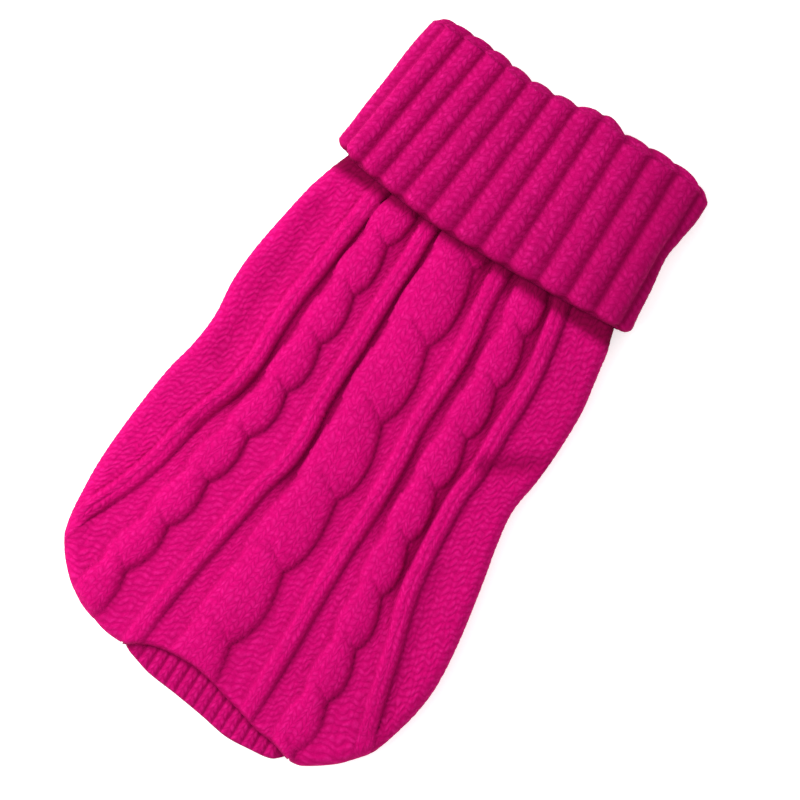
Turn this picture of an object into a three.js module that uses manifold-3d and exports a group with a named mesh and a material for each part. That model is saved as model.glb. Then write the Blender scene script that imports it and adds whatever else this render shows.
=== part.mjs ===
// A small dog's turtleneck sweater in chunky cable knit, lying flat on a table with its back up.
// Millimetres. +Z is up, +Y runs along the back towards the neck, +X is the right side as seen from above.
// The pieces are the ones that a maker knits and sews: back panel, belly panel, folded collar, hem band
// and the two leg bands. Each one is a wall of knit with a plain inside, and the ribs and cables of the
// back, the collar and the hem stand up from its outside.
import * as THREE from 'three';
import { mergeVertices } from 'three/addons/utils/BufferGeometryUtils.js';
import Module from 'manifold-3d';

const wasm = await Module();
wasm.setup();

// Driving sizes.
const wallThickness = 3;
const bandThickness = 2.4;
const seamGap = 0.3;
const ribWidth = 7.2;
const ribHeight = 2.2;
const narrowCable = {
  width: 14.4,
  pitch: 21.8,
  crossingY: 6,
  height: 2.7,
  waistLeft: 0.7,
  waistRight: 0.6,
  slip: 0.06,
  tip: 0.24,
  tipSide: -0.34,
  samples: 7,
};
const wideCable = {
  width: 22,
  pitch: 33,
  crossingY: -6,
  height: 3.0,
  waistLeft: 0.85,
  waistRight: 0.66,
  slip: 0.12,
  tip: 0.28,
  tipSide: -0.3,
  samples: 9,
};
const crownHeight = 0.8;
const neckY = 77.5;
const cornerY = -105;
const bellyEndY = -118;
const knitPink = 0xdc1478;

// The body's two side edges as it lies, and how high its underside and its top lie, from the lower
// corners to the neck.
const bodySections = [
  { y: -105.0, left: -71.6, right: 71.0, under: 0, top: 10.4 },
  { y: -98.0, left: -73.4, right: 72.8, under: 0, top: 10.3 },
  { y: -88.0, left: -74.6, right: 74.8, under: 0, top: 10.1 },
  { y: -76.0, left: -75.5, right: 75.4, under: 0, top: 9.8 },
  { y: -60.0, left: -75.2, right: 73.6, under: 0, top: 9.4 },
  { y: -45.0, left: -74.2, right: 70.8, under: 0, top: 9.1 },
  { y: -32.0, left: -72.8, right: 68.0, under: 0, top: 8.9 },
  { y: -20.0, left: -70.4, right: 65.2, under: 0, top: 8.7 },
  { y: -7.0, left: -69.5, right: 63.3, under: 0, top: 8.6 },
  { y: 8.0, left: -71.1, right: 64.8, under: 0, top: 8.6 },
  { y: 22.0, left: -70.7, right: 65.2, under: 0, top: 8.7 },
  { y: 38.0, left: -68.6, right: 64.5, under: 0, top: 8.9 },
  { y: 52.0, left: -66.4, right: 62.0, under: 0, top: 9.2 },
  { y: 55.0, left: -65.6, right: 61.4, under: 0, top: 9.3 },
  { y: 62.0, left: -63.6, right: 60.0, under: 1.5, top: 9.6 },
  { y: 69.0, left: -61.0, right: 57.6, under: 3.3, top: 9.9 },
  { y: 77.5, left: -57.5, right: 55.5, under: 3.3, top: 9.9 },
];

// The body's lower edge between the two corners. Over the hem band it is the crease where the back
// hangs over the band, and at its ends the panel turns under.
const lowerEdge = [
  { x: -71.6, y: -105 },
  { x: -68.4, y: -110 },
  { x: -64.0, y: -115 },
  { x: -58.2, y: -120 },
  { x: -52.2, y: -123 },
  { x: -46.0, y: -125.3 },
  { x: -40.0, y: -127 },
  { x: -34.0, y: -127.5 },
  { x: -30.0, y: -127 },
  { x: -25.5, y: -123.8 },
  { x: -18.0, y: -121 },
  { x: -5.0, y: -119.6 },
  { x: 5.0, y: -121 },
  { x: 12.0, y: -122.8 },
  { x: 20.0, y: -124.5 },
  { x: 28.0, y: -126.6 },
  { x: 36.0, y: -127.3 },
  { x: 43.0, y: -129.2 },
  { x: 48.0, y: -129.6 },
  { x: 53.8, y: -126.2 },
  { x: 60.8, y: -120.6 },
  { x: 65.6, y: -115 },
  { x: 69.2, y: -110 },
  { x: 71.0, y: -105 },
];

// Where the seam to the belly lies on the underside: along the sides by how far in from the edge and
// how far up from the matching point of it, and along the lower edge by its own place.
const sideSeams = [
  { y: -105, left: 11.1, right: 10.8, lift: 5 },
  { y: -98, left: 11.6, right: 11.4, lift: 3.4 },
  { y: -88, left: 11.6, right: 12, lift: 1.6 },
  { y: -75, left: 11.5, right: 12.0, lift: 0 },
  { y: -38, left: 10.5, right: 10.5, lift: 0 },
  { y: 0, left: 10.3, right: 10.0, lift: 0 },
  { y: 40, left: 10.5, right: 10.3, lift: 0 },
  { y: 77.5, left: 9.0, right: 9.0, lift: 0 },
];
const lowerSeams = [
  { x: -71.6, seamX: -60.5, seamY: -100 },
  { x: -66, seamX: -57, seamY: -105.6 },
  { x: -60, seamX: -53, seamY: -110.4 },
  { x: -54, seamX: -49.4, seamY: -114.4 },
  { x: -48, seamX: -46, seamY: -118.3 },
  { x: -40, seamX: -39.5, seamY: -118.3 },
  { x: -32, seamX: -32, seamY: -118.3 },
  { x: 44, seamX: 44, seamY: -118.3 },
  { x: 52, seamX: 50, seamY: -118.3 },
  { x: 57, seamX: 53.6, seamY: -114.4 },
  { x: 62, seamX: 56.4, seamY: -110.4 },
  { x: 67, seamX: 58.8, seamY: -105.4 },
  { x: 71.0, seamX: 60.2, seamY: -100 },
];

// Centre lines of the back's ribs and cables. Where one runs over an edge, its place is measured on
// round the edge.
const backFeatures = [
  { y: -126.8, ribA: -82, cableA: -50.5, ribB: -28.4, cableB: -5, ribC: 21.6, cableC: 40, ribD: 74 },
  { y: -120, ribA: -79, cableA: -50.5, ribB: -28.2, cableB: -5, ribC: 21.6, cableC: 40, ribD: 70 },
  { y: -112, ribA: -75.5, cableA: -50, ribB: -27.8, cableB: -4.8, ribC: 21.4, cableC: 40, ribD: 66 },
  { y: -100, ribA: -71.5, cableA: -48.5, ribB: -26.7, cableB: -4.3, ribC: 21, cableC: 39.6, ribD: 61.5 },
  { y: -88, ribA: -66.6, cableA: -46, ribB: -25.2, cableB: -3.5, ribC: 20.4, cableC: 38.6, ribD: 57.8 },
  { y: -75, ribA: -61.5, cableA: -44, ribB: -23.4, cableB: -3, ribC: 19.5, cableC: 37.2, ribD: 54.2 },
  { y: -62, ribA: -57.8, cableA: -42, ribB: -21.6, cableB: -2.6, ribC: 19, cableC: 35.5, ribD: 50 },
  { y: -50, ribA: -55.6, cableA: -40.3, ribB: -20.2, cableB: -2, ribC: 18.6, cableC: 34, ribD: 46.8 },
  { y: -38, ribA: -53, cableA: -38.4, ribB: -17.2, cableB: -1, ribC: 18.5, cableC: 32.6, ribD: 45 },
  { y: -25, ribA: -48.8, cableA: -36.2, ribB: -17, cableB: -1.2, ribC: 18.1, cableC: 31.4, ribD: 43.6 },
  { y: -12, ribA: -47.4, cableA: -35.4, ribB: -18.6, cableB: -2.2, ribC: 17, cableC: 30.4, ribD: 42.8 },
  { y: 0, ribA: -48, cableA: -35, ribB: -19, cableB: -3.2, ribC: 15.6, cableC: 29.8, ribD: 43.8 },
  { y: 15, ribA: -48, cableA: -34.8, ribB: -19.4, cableB: -3.6, ribC: 15.4, cableC: 29.2, ribD: 42.6 },
  { y: 28, ribA: -46.8, cableA: -34.6, ribB: -19.9, cableB: -4.2, ribC: 15.3, cableC: 28.6, ribD: 42.3 },
  { y: 40, ribA: -46, cableA: -34.6, ribB: -20.3, cableB: -4.8, ribC: 13.8, cableC: 27.5, ribD: 41.3 },
  { y: 50, ribA: -45, cableA: -34.2, ribB: -20.3, cableB: -5.2, ribC: 12, cableC: 26.5, ribD: 39.5 },
  { y: 62, ribA: -44, cableA: -33.5, ribB: -20.8, cableB: -5.6, ribC: 10.7, cableC: 24.6, ribD: 37 },
  { y: 77.5, ribA: -40.5, cableA: -30, ribB: -18.4, cableB: -3.5, ribC: 11.6, cableC: 23.2, ribD: 34 },
];

// Soft folds of the top layer, each a trough along a line.
const softFolds = [
  { fromX: 47, fromY: 4, toX: 66, toY: 17, width: 5, depth: 1.5 },
  { fromX: -57, fromY: 48, toX: -58, toY: -18, width: 5, depth: 1.0 },
  { fromX: -43, fromY: -18, toX: -52, toY: -44, width: 3.2, depth: 1.1 },
  { fromX: -52, fromY: -44, toX: -66, toY: -92, width: 3.2, depth: 0.9 },
  { fromX: 54, fromY: -40, toX: 68, toY: -104, width: 4, depth: 0.8 },
];

// The folded collar: the outer layer from its loose edge up to the fold, and the inner layer from the
// seam at the neck up to the fold.
const cuffSections = [
  { y: 64, left: -65.0, right: 61.2, under: 0, top: 15.3 },
  { y: 72, left: -65.0, right: 61.1, under: 0, top: 14.9 },
  { y: 80, left: -64.3, right: 60.0, under: 0, top: 14.2 },
  { y: 90, left: -63.6, right: 58.8, under: 0, top: 13.6 },
  { y: 103, left: -62.5, right: 56.9, under: 0, top: 13.4 },
  { y: 112, left: -62.0, right: 57.8, under: 0, top: 13.3 },
  { y: 121, left: -61.1, right: 59.0, under: 0, top: 13.2 },
  { y: 131, left: -59.4, right: 58.8, under: 0, top: 13.2 },
];
const neckTubeSections = [
  { y: 77.8, left: -57.5, right: 55.5, under: 3.3, top: 9.9 },
  { y: 104, left: -57.2, right: 52.4, under: 3.3, top: 9.9 },
  { y: 131, left: -54.8, right: 53.6, under: 3.3, top: 9.9 },
];
const collarFold = [
  { x: -60, top: 132.6 },
  { x: -40, top: 132.6 },
  { x: -20, top: 131.0 },
  { x: 0, top: 132.4 },
  { x: 12, top: 135.2 },
  { x: 22, top: 133.4 },
  { x: 36, top: 134.2 },
  { x: 50, top: 134.0 },
  { x: 59, top: 131.8 },
];
const cuffEdge = [
  { x: -66, y: 71 },
  { x: -58, y: 68.8 },
  { x: -44, y: 67 },
  { x: -22, y: 65.4 },
  { x: 0, y: 66 },
  { x: 30, y: 68 },
  { x: 46, y: 69.4 },
  { x: 62, y: 71 },
];

// The valleys between the collar's ribs, across its front at a low and at a high place.
const collarRibs = { height: 2.0, crestShare: 0.86, lowY: 75, highY: 125 };
const collarValleys = [
  { low: -72.5, high: -66.5 },
  { low: -63.2, high: -57.2 },
  { low: -54, high: -48.5 },
  { low: -45, high: -39 },
  { low: -34.5, high: -29.5 },
  { low: -23.5, high: -19.5 },
  { low: -12, high: -9.5 },
  { low: -0.5, high: 0.5 },
  { low: 11, high: 10.5 },
  { low: 23.5, high: 22 },
  { low: 35.5, high: 33.5 },
  { low: 47, high: 45 },
  { low: 58.4, high: 56 },
  { low: 68.5, high: 65.5 },
];

// The hem band, drawn in to less than the body's width.
const hemSections = [
  { y: -135.5, left: -30.0, right: 42.8, under: 0, top: 6.3 },
  { y: -112, left: -30.4, right: 42.8, under: 0, top: 6.3 },
];
const hemEdge = [
  { x: -30, y: -127.9 },
  { x: -24, y: -129.6 },
  { x: -17, y: -131.4 },
  { x: -5, y: -132.4 },
  { x: 8, y: -133.8 },
  { x: 20, y: -135.4 },
  { x: 30, y: -134.5 },
  { x: 38, y: -133.2 },
  { x: 43, y: -130.4 },
];
const hemRibs = { count: 15, height: 0.8, crestShare: 0.8 };
const hemStart = { top: -113.5, under: -118.3 };

// The leg openings in the belly panel.
const legHole = { fromMiddle: 36, middleX: -3, y: 20, halfWidth: 17, halfLength: 24, bandWidth: 6.2, facets: 28 };

const lerp = THREE.MathUtils.lerp;
const smooth = THREE.MathUtils.smoothstep;

// One column of a table read at a place, on a smooth curve through its rows.
function read(table, column, place, along = 'y') {
  const last = table.length - 1;
  if (place <= table[0][along]) return table[0][column];
  if (place >= table[last][along]) return table[last][column];
  let k = 0;
  while (table[k + 1][along] < place) k += 1;
  const slope = (i) => {
    const a = table[Math.max(i - 1, 0)];
    const b = table[Math.min(i + 1, last)];
    return (b[column] - a[column]) / (b[along] - a[along]);
  };
  const span = table[k + 1][along] - table[k][along];
  const t = (place - table[k][along]) / span;
  const h00 = (1 + 2 * t) * (1 - t) ** 2;
  const h10 = t * (1 - t) ** 2;
  const h01 = t * t * (3 - 2 * t);
  const h11 = t * t * (t - 1);
  return h00 * table[k][column] + h10 * span * slope(k) + h01 * table[k + 1][column] + h11 * span * slope(k + 1);
}

function underAt(table, y) {
  return Math.max(0, read(table, 'under', y));
}

function sectionAt(table, y) {
  const section = {
    left: read(table, 'left', y),
    right: read(table, 'right', y),
    under: underAt(table, y),
    top: read(table, 'top', y),
  };
  section.radius = (section.top - section.under) / 2;
  return section;
}

// A point on a flattened tube's section. The measure s is x on the top and goes on round each edge and
// back along the underside. Depth is how far inside the outer face the point lies.
function onSection(section, s, depth) {
  const { left, right, under, top, radius } = section;
  const middle = (top + under) / 2;
  const inner = radius - depth;
  const side = s < (left + right) / 2 ? -1 : 1;
  const arcStart = side < 0 ? left + radius : right - radius;
  const past = side * (s - arcStart);
  if (past <= 0) return { x: s, z: top - depth, turn: 0 };
  const turn = past / radius;
  if (turn < Math.PI) {
    return { x: arcStart + side * inner * Math.sin(turn), z: middle + inner * Math.cos(turn), turn };
  }
  return { x: arcStart - side * (past - Math.PI * radius), z: under + depth, turn: Math.PI };
}

function foldDepth(x, y) {
  let depth = 0;
  for (const fold of softFolds) {
    const dx = fold.toX - fold.fromX;
    const dy = fold.toY - fold.fromY;
    const t = THREE.MathUtils.clamp(((x - fold.fromX) * dx + (y - fold.fromY) * dy) / (dx * dx + dy * dy), 0, 1);
    const away = Math.hypot(x - fold.fromX - t * dx, y - fold.fromY - t * dy);
    depth += fold.depth * Math.exp(-((away / fold.width) ** 2));
  }
  return depth;
}

// How far a cable's lobe swells between its two waists, fullest a little below its middle.
function lobeSwell(down) {
  const share = THREE.MathUtils.clamp(down, 0, 1);
  return Math.max(0, Math.sin(Math.PI * share ** 1.3)) ** 0.75;
}

// Height of one lobe of a cable. Down counts from its upper waist, in lobes. Its tip lies over the lobe
// above, and its end dives under the lobe below.
const lobeDive = { from: 0.72, to: 1.1, share: 0.42 };
function lobeHeight(cable, across, down) {
  const half = cable.width / 2;
  const opened = THREE.MathUtils.clamp((down + cable.tip) / cable.tip, 0, 1) ** 0.6;
  const closed = THREE.MathUtils.clamp((1 + cable.tip - down) / cable.tip, 0, 1) ** 0.6;
  const middle = cable.tipSide * half * (1 - smooth(down, -cable.tip, 0.35));
  const onLeft = across < middle;
  const waist = onLeft ? cable.waistLeft : cable.waistRight;
  const swell = lobeSwell(onLeft ? down - cable.slip : down);
  const edge = half * lerp(waist, 1, swell) * Math.min(opened, closed);
  const reach = onLeft ? edge + middle : edge - middle;
  const share = Math.abs(across - middle) / Math.max(reach, 0.01);
  if (share >= 1) return 0;
  const crest = cable.height * (1 - lobeDive.share * smooth(down, lobeDive.from, lobeDive.to));
  return crest * lerp(0.55, 1, opened) * (1 - share ** 2.3) ** 0.6;
}

// Height of a cable above the panel: a column of plump lobes, where its strands cross each other.
function cableHeight(cable, across, y) {
  const down = (cable.crossingY - y) / cable.pitch;
  const part = down - Math.floor(down);
  return Math.max(...[1, 0, -1].map((step) => lobeHeight(cable, across, part + step)));
}

const ribProfile = [
  { at: -0.5, height: 0 },
  { at: -0.36, height: 0.7 },
  { at: 0, height: 1 },
  { at: 0.36, height: 0.7 },
  { at: 0.5, height: 0 },
];
const ribNames = ['ribA', 'ribB', 'ribC', 'ribD'];
// The outer ribs flatten out where they run off the corners.
const ribEnds = { ribA: -101, ribD: -108 };
const cables = { cableA: narrowCable, cableB: wideCable, cableC: narrowCable };

// How far the back's ribs and cables stand up at a place of the panel laid out flat.
function reliefAt(x, y) {
  let height = 0;
  for (const name of ribNames) {
    const off = (x - read(backFeatures, name, y)) / ribWidth;
    const full = ribHeight * (name in ribEnds ? smooth(y, ribEnds[name], ribEnds[name] + 14) : 1);
    if (Math.abs(off) < 0.5) height = Math.max(height, full * read(ribProfile, 'height', off, 'at'));
  }
  for (const [name, cable] of Object.entries(cables)) {
    height = Math.max(height, cableHeight(cable, x - read(backFeatures, name, y), y));
  }
  return height * (1 - smooth(y, 58, neckY));
}

// The back's columns of points: evenly over each side, then on the shoulders and crests of each rib
// and across each cable.
const sideSteps = 5;
function columnPlan() {
  const plan = [];
  for (let i = 0; i < sideSteps; i += 1) plan.push({ side: 'left', share: i / sideSteps });
  for (const name of ['ribA', 'cableA', 'ribB', 'cableB', 'ribC', 'cableC', 'ribD']) {
    const cable = cables[name];
    if (name === 'cableA') plan.push({ from: ['ribA', ribWidth / 2], to: ['cableA', -narrowCable.width / 2], share: 0.5 });
    if (name === 'ribD') {
      for (const share of [0.33, 0.67]) {
        plan.push({ from: ['cableC', narrowCable.width / 2], to: ['ribD', -ribWidth / 2], share });
      }
    }
    if (cable) {
      for (let i = 0; i < cable.samples; i += 1) {
        plan.push({ name, off: -Math.cos((Math.PI * i) / (cable.samples - 1)) * (cable.width / 2) });
      }
    } else {
      for (const point of ribProfile) plan.push({ name, off: point.at * ribWidth });
    }
  }
  for (let i = 1; i <= sideSteps; i += 1) plan.push({ side: 'right', share: i / sideSteps });
  return plan;
}

// Where the columns lie on one row, kept in order and a little apart.
function columnPlaces(plan, ys, from, to, least) {
  const feature = (name, i) => THREE.MathUtils.clamp(read(backFeatures, name, ys[i]), from, to);
  const places = plan.map((column, i) => {
    if (column.from) {
      const start = feature(column.from[0], i) + column.from[1];
      return lerp(start, feature(column.to[0], i) + column.to[1], column.share);
    }
    if (column.side === 'left') return lerp(from, read(backFeatures, 'ribA', ys[i]) - ribWidth / 2, column.share);
    if (column.side === 'right') return lerp(read(backFeatures, 'ribD', ys[i]) + ribWidth / 2, to, column.share);
    return read(backFeatures, column.name, ys[i]) + column.off;
  });
  places[0] = from;
  for (let i = 1; i < places.length; i += 1) places[i] = Math.max(places[i], places[i - 1] + least);
  places[places.length - 1] = to;
  for (let i = places.length - 2; i >= 0; i -= 1) places[i] = Math.min(places[i], places[i + 1] - least);
  return places;
}

// The edge of the body as it lies, from the neck down the left side, along the lower edge and up the
// right side, with its inward direction. Between the lips the panel ends in a lip over the hem band,
// and elsewhere it turns under to the seam.
const lip = { left: -31.5, right: 44.6, radius: wallThickness };

function seamPoint(point) {
  if (point.isLip) return { x: point.x, y: point.y + 1 };
  if (point.lower) {
    const straight = (column) => {
      let k = 0;
      while (k + 2 < lowerSeams.length && lowerSeams[k + 1].x < point.x) k += 1;
      const t = (point.x - lowerSeams[k].x) / (lowerSeams[k + 1].x - lowerSeams[k].x);
      return lerp(lowerSeams[k][column], lowerSeams[k + 1][column], t);
    };
    return { x: straight('seamX'), y: straight('seamY') };
  }
  const side = point.x < 0 ? 'left' : 'right';
  const inset = read(sideSeams, side, point.y);
  return { x: point.x + (side === 'left' ? inset : -inset), y: point.y + read(sideSeams, 'lift', point.y) };
}

function bodyRim(plan, rows) {
  const sideY = (j) => lerp(neckY, cornerY, j / rows);
  const points = [];
  for (let j = 0; j < rows; j += 1) points.push({ x: read(bodySections, 'left', sideY(j)), y: sideY(j) });
  const from = lowerEdge[0].x;
  const to = lowerEdge.at(-1).x;
  let ys = plan.map(() => cornerY);
  let xs = [];
  for (let pass = 0; pass < 4; pass += 1) {
    xs = columnPlaces(plan, ys, from, to, 1.2);
    ys = xs.map((x) => read(lowerEdge, 'y', x, 'x'));
  }
  xs.forEach((x, i) => points.push({ x, y: ys[i], lower: true }));
  for (let j = rows - 1; j >= 0; j -= 1) points.push({ x: read(bodySections, 'right', sideY(j)), y: sideY(j) });
  for (const point of points) {
    point.isLip = Boolean(point.lower) && point.x > lip.left && point.x < lip.right;
    point.top = read(bodySections, 'top', point.y);
    point.under = point.isLip ? point.top - 2 * lip.radius : underAt(bodySections, point.y);
    point.radius = (point.top - point.under) / 2;
    const seam = seamPoint(point);
    point.inward = new THREE.Vector2(seam.x - point.x, seam.y - point.y);
    point.inset = point.inward.length();
    point.inward.normalize();
  }
  return points;
}

// A point of the panel where it turns round the body's edge. At turn 0 it is on the top, at half a
// turn on the underside, and past that it runs in by the share of the way to the seam.
function rimPoint(edge, turn, share, depth) {
  const across = edge.radius - (edge.radius - depth) * Math.sin(turn) + share * (edge.inset - edge.radius);
  const z = (edge.top + edge.under) / 2 + (edge.radius - depth) * Math.cos(turn);
  return new THREE.Vector3(edge.x + across * edge.inward.x, edge.y + across * edge.inward.y, z);
}

function rimOuter(edge, turn, share) {
  const round = edge.radius * (1 - turn);
  const relief = reliefAt(edge.x + round * edge.inward.x, edge.y + round * edge.inward.y);
  const fade = edge.isLip ? 1 - 0.8 * smooth(turn, 0.3, 1.5) : 1 - smooth(turn, 1.0, 1.9);
  return settle(rimPoint(edge, turn, share, -relief * fade), turn);
}

function rimInner(edge, turn, share) {
  if (!edge.isLip) return settle(rimPoint(edge, turn, share, wallThickness), turn);
  const point = rimPoint(edge, 0, 0, wallThickness);
  const out = lip.radius * lipReach * share;
  return settle(point.sub(new THREE.Vector3(out * edge.inward.x, out * edge.inward.y, 0)), 0);
}

// Lifts the top layer to its crown and lets it down in the soft folds, less and less round the edge.
function settle(point, turn) {
  const left = read(bodySections, 'left', point.y);
  const right = read(bodySections, 'right', point.y);
  const acrossShare = (2 * point.x - left - right) / (right - left);
  const along = (1 - smooth(point.y, 50, neckY)) * smooth(point.y, -112, -96);
  const crown = crownHeight * Math.max(0, 1 - acrossShare ** 2) * along;
  point.z += (1 - smooth(turn, 0, Math.PI / 2)) * (crown - foldDepth(point.x, point.y));
  return point;
}

const lipReach = 0.97;
const turnSteps = [25, 58, 90, 122, 152, 180].map((angle) => ({ turn: THREE.MathUtils.degToRad(angle), share: 0 }));
turnSteps.push({ turn: Math.PI, share: 1 });
const innerTurnSteps = [60, 120, 180].map((angle) => ({ turn: THREE.MathUtils.degToRad(angle), share: 0 }));
innerTurnSteps.push({ turn: Math.PI, share: 1 });

const backRows = 50;

// Points of the back's top: rows across it that bend down to the lower edge as they near it.
function topGrid(rim, plan, pointAt) {
  const inside = rim.map((edge) => rimPoint(edge, 0, 0, 0));
  const lower = inside.slice(backRows, backRows + plan.length);
  const bendFrom = -30;
  const grid = [];
  for (let j = 0; j < backRows; j += 1) {
    const left = inside[j];
    const right = inside[inside.length - 1 - j];
    const bend = Math.max(0, (bendFrom - rim[j].y) / (bendFrom - cornerY)) ** 1.2;
    const yAt = (x) => {
      const share = (x - left.x) / (right.x - left.x);
      const sag = polyline(lower, x) - lerp(lower[0].y, lower.at(-1).y, share);
      return lerp(left.y, right.y, share) + bend * sag;
    };
    let ys = plan.map(() => left.y);
    let xs = [];
    for (let pass = 0; pass < 4; pass += 1) {
      xs = columnPlaces(plan, ys, left.x, right.x, 0.8);
      ys = xs.map(yAt);
    }
    grid.push(xs.map((x, i) => pointAt(x, ys[i])));
  }
  grid.push(lower.map((p) => pointAt(p.x, p.y)));
  return grid;
}

function polyline(points, x) {
  let k = 0;
  while (k + 2 < points.length && points[k + 1].x < x) k += 1;
  const t = THREE.MathUtils.clamp((x - points[k].x) / (points[k + 1].x - points[k].x), 0, 1);
  return lerp(points[k].y, points[k + 1].y, t);
}

function backPanel() {
  const plan = columnPlan();
  const rim = bodyRim(plan, backRows);
  const lipTurn = THREE.MathUtils.degToRad(77);
  const topZ = (x, y) => read(bodySections, 'top', y);
  const outerGrid = topGrid(rim, plan, (x, y) =>
    settle(new THREE.Vector3(x, y, topZ(x, y) + reliefAt(x, y)), 0),
  );
  const innerGrid = topGrid(rim, plan, (x, y) => settle(new THREE.Vector3(x, y, topZ(x, y) - wallThickness), 0));
  const steps = (edge, list) =>
    edge.isLip ? list.map((step, m) => ({ turn: (lipTurn * (m + 1)) / list.length, share: (m + 1) / list.length })) : list;
  const outerRim = rim.map((edge) => steps(edge, turnSteps).map((step) => rimOuter(edge, step.turn, edge.isLip ? 0 : step.share)));
  const innerRim = rim.map((edge) => steps(edge, innerTurnSteps).map((step) => rimInner(edge, step.turn, step.share)));
  const everyRow = outerGrid.map((row, j) => j);
  const everyColumn = plan.map((column, i) => i);
  const switchColumns = everyColumn.filter((i) => {
    const here = rim[backRows + i];
    const next = rim[backRows + i + 1];
    const last = rim[backRows + i - 1];
    return here.isLip !== next.isLip || here.isLip !== last.isLip;
  });
  const someRows = everyRow.filter((j) => j % 2 === 0 || j === backRows);
  const someColumns = everyColumn.filter((i) => {
    const edge = rim[backRows + i];
    const stride = edge.isLip ? 4 : 2;
    const atSeamBend = Math.abs(edge.x + 46) < 5;
    return i % stride === 0 || atSeamBend || i === plan.length - 1 || switchColumns.includes(i);
  });
  return sheetGeometry(
    { grid: outerGrid, rim: outerRim, rows: everyRow, columns: everyColumn, steps: turnSteps },
    { grid: innerGrid, rim: innerRim, rows: someRows, columns: someColumns, steps: innerTurnSteps },
  );
}

// Two faces of a panel, each a grid with a strip that runs on round three of its sides, become one
// closed wall. The inner face keeps only some of the rows and columns.
function sheetGeometry(outer, inner) {
  const positions = [];
  const index = [];
  const put = (p) => positions.push(p.x, p.y, p.z) / 3 - 1;
  const edges = [];
  for (const [face, flip] of [
    [outer, false],
    [inner, true],
  ]) {
    const { rows, columns } = face;
    const lastRow = face.grid.length - 1;
    const lastColumn = face.grid[0].length - 1;
    const ids = rows.map((j) => columns.map((i) => put(face.grid[j][i])));
    const quad = (a, b, c, d) => index.push(...(flip ? [a, c, b, a, d, c] : [a, b, c, a, c, d]));
    for (let j = 0; j + 1 < rows.length; j += 1) {
      for (let i = 0; i + 1 < columns.length; i += 1) quad(ids[j + 1][i], ids[j + 1][i + 1], ids[j][i + 1], ids[j][i]);
    }
    const path = [];
    rows.forEach((j, n) => path.push({ place: j, id: ids[n][0] }));
    columns.slice(1).forEach((i, n) => path.push({ place: lastRow + i, id: ids.at(-1)[n + 1] }));
    [...rows].reverse().slice(1).forEach((j, n) => {
      path.push({ place: 2 * lastRow + lastColumn - j, id: ids[rows.length - 2 - n].at(-1) });
    });
    const strips = path.map(({ place, id }) => [id, ...face.rim[place].map(put)]);
    for (let k = 0; k + 1 < strips.length; k += 1) {
      for (let m = 0; m + 1 < strips[k].length; m += 1) {
        quad(strips[k][m + 1], strips[k + 1][m + 1], strips[k + 1][m], strips[k][m]);
      }
    }
    const neck = [...[...strips[0]].reverse(), ...ids[0].slice(1, -1), ...strips.at(-1)];
    const round = face.steps.map((step) => step.turn / Math.PI + step.share);
    const neckPlaces = [...[...round].reverse().map((place) => -place), ...columns, ...round.map((place) => lastColumn + place)];
    edges.push({
      neck,
      neckPlaces,
      seam: strips.map((strip) => strip.at(-1)),
      seamPlaces: path.map(({ place }) => place),
    });
  }
  const [a, b] = edges;
  zip(index, a.neck, a.neckPlaces, b.neck, b.neckPlaces);
  zip(index, b.seam, b.seamPlaces, a.seam, a.seamPlaces);
  return indexed(positions, index);
}

// Triangles between two edges, whose points are matched by their places along them.
function zip(index, a, placesA, b, placesB) {
  let i = 0;
  let j = 0;
  while (i + 1 < a.length || j + 1 < b.length) {
    if (j + 1 >= b.length || (i + 1 < a.length && placesA[i + 1] <= placesB[j + 1])) {
      index.push(a[i], a[i + 1], b[j]);
      i += 1;
    } else {
      index.push(b[j + 1], b[j], a[i]);
      j += 1;
    }
  }
}

// The belly panel fills the underside between the seams, with a hole for each front leg.
function bellyPanel() {
  const rim = bodyRim(columnPlan(), backRows);
  const seamOf = (edges) => {
    const seam = edges.map((edge) => {
      const inset = edge.inset + seamGap;
      return { x: edge.x + inset * edge.inward.x, y: edge.y + inset * edge.inward.y };
    });
    return seam.slice(0, seam.findIndex((p) => p.y < bellyEndY + 0.01) + 1);
  };
  const left = seamOf(rim);
  const right = seamOf([...rim].reverse());
  const across = 4;
  const near = 0.4;
  const levels = [...left, ...right.filter((p) => p.y < cornerY + 15)]
    .map((p) => p.y)
    .sort((a, b) => b - a)
    .filter((y, i, all) => y > bellyEndY + near && (i === 0 || all[i - 1] - y > near));
  levels.push(bellyEndY);
  const seamX = (points, y) => {
    let k = 0;
    while (k + 2 < points.length && points[k + 1].y > y) k += 1;
    const t = THREE.MathUtils.clamp((y - points[k].y) / (points[k + 1].y - points[k].y), 0, 1);
    return lerp(points[k].x, points[k + 1].x, t);
  };
  const sheet = (height) =>
    levels.map((y) => {
      const row = [];
      for (let i = 0; i <= across; i += 1) {
        const x = lerp(seamX(left, y), seamX(right, y), i / across);
        row.push(new THREE.Vector3(x, y, underAt(bodySections, y) + height));
      }
      return row;
    });
  let solid = toSolid(wallGeometry(sheet(wallThickness), sheet(0)));
  for (const side of [-1, 1]) solid = solid.subtract(toSolid(legCutter(side)));
  return fromSolid(solid);
}

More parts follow.
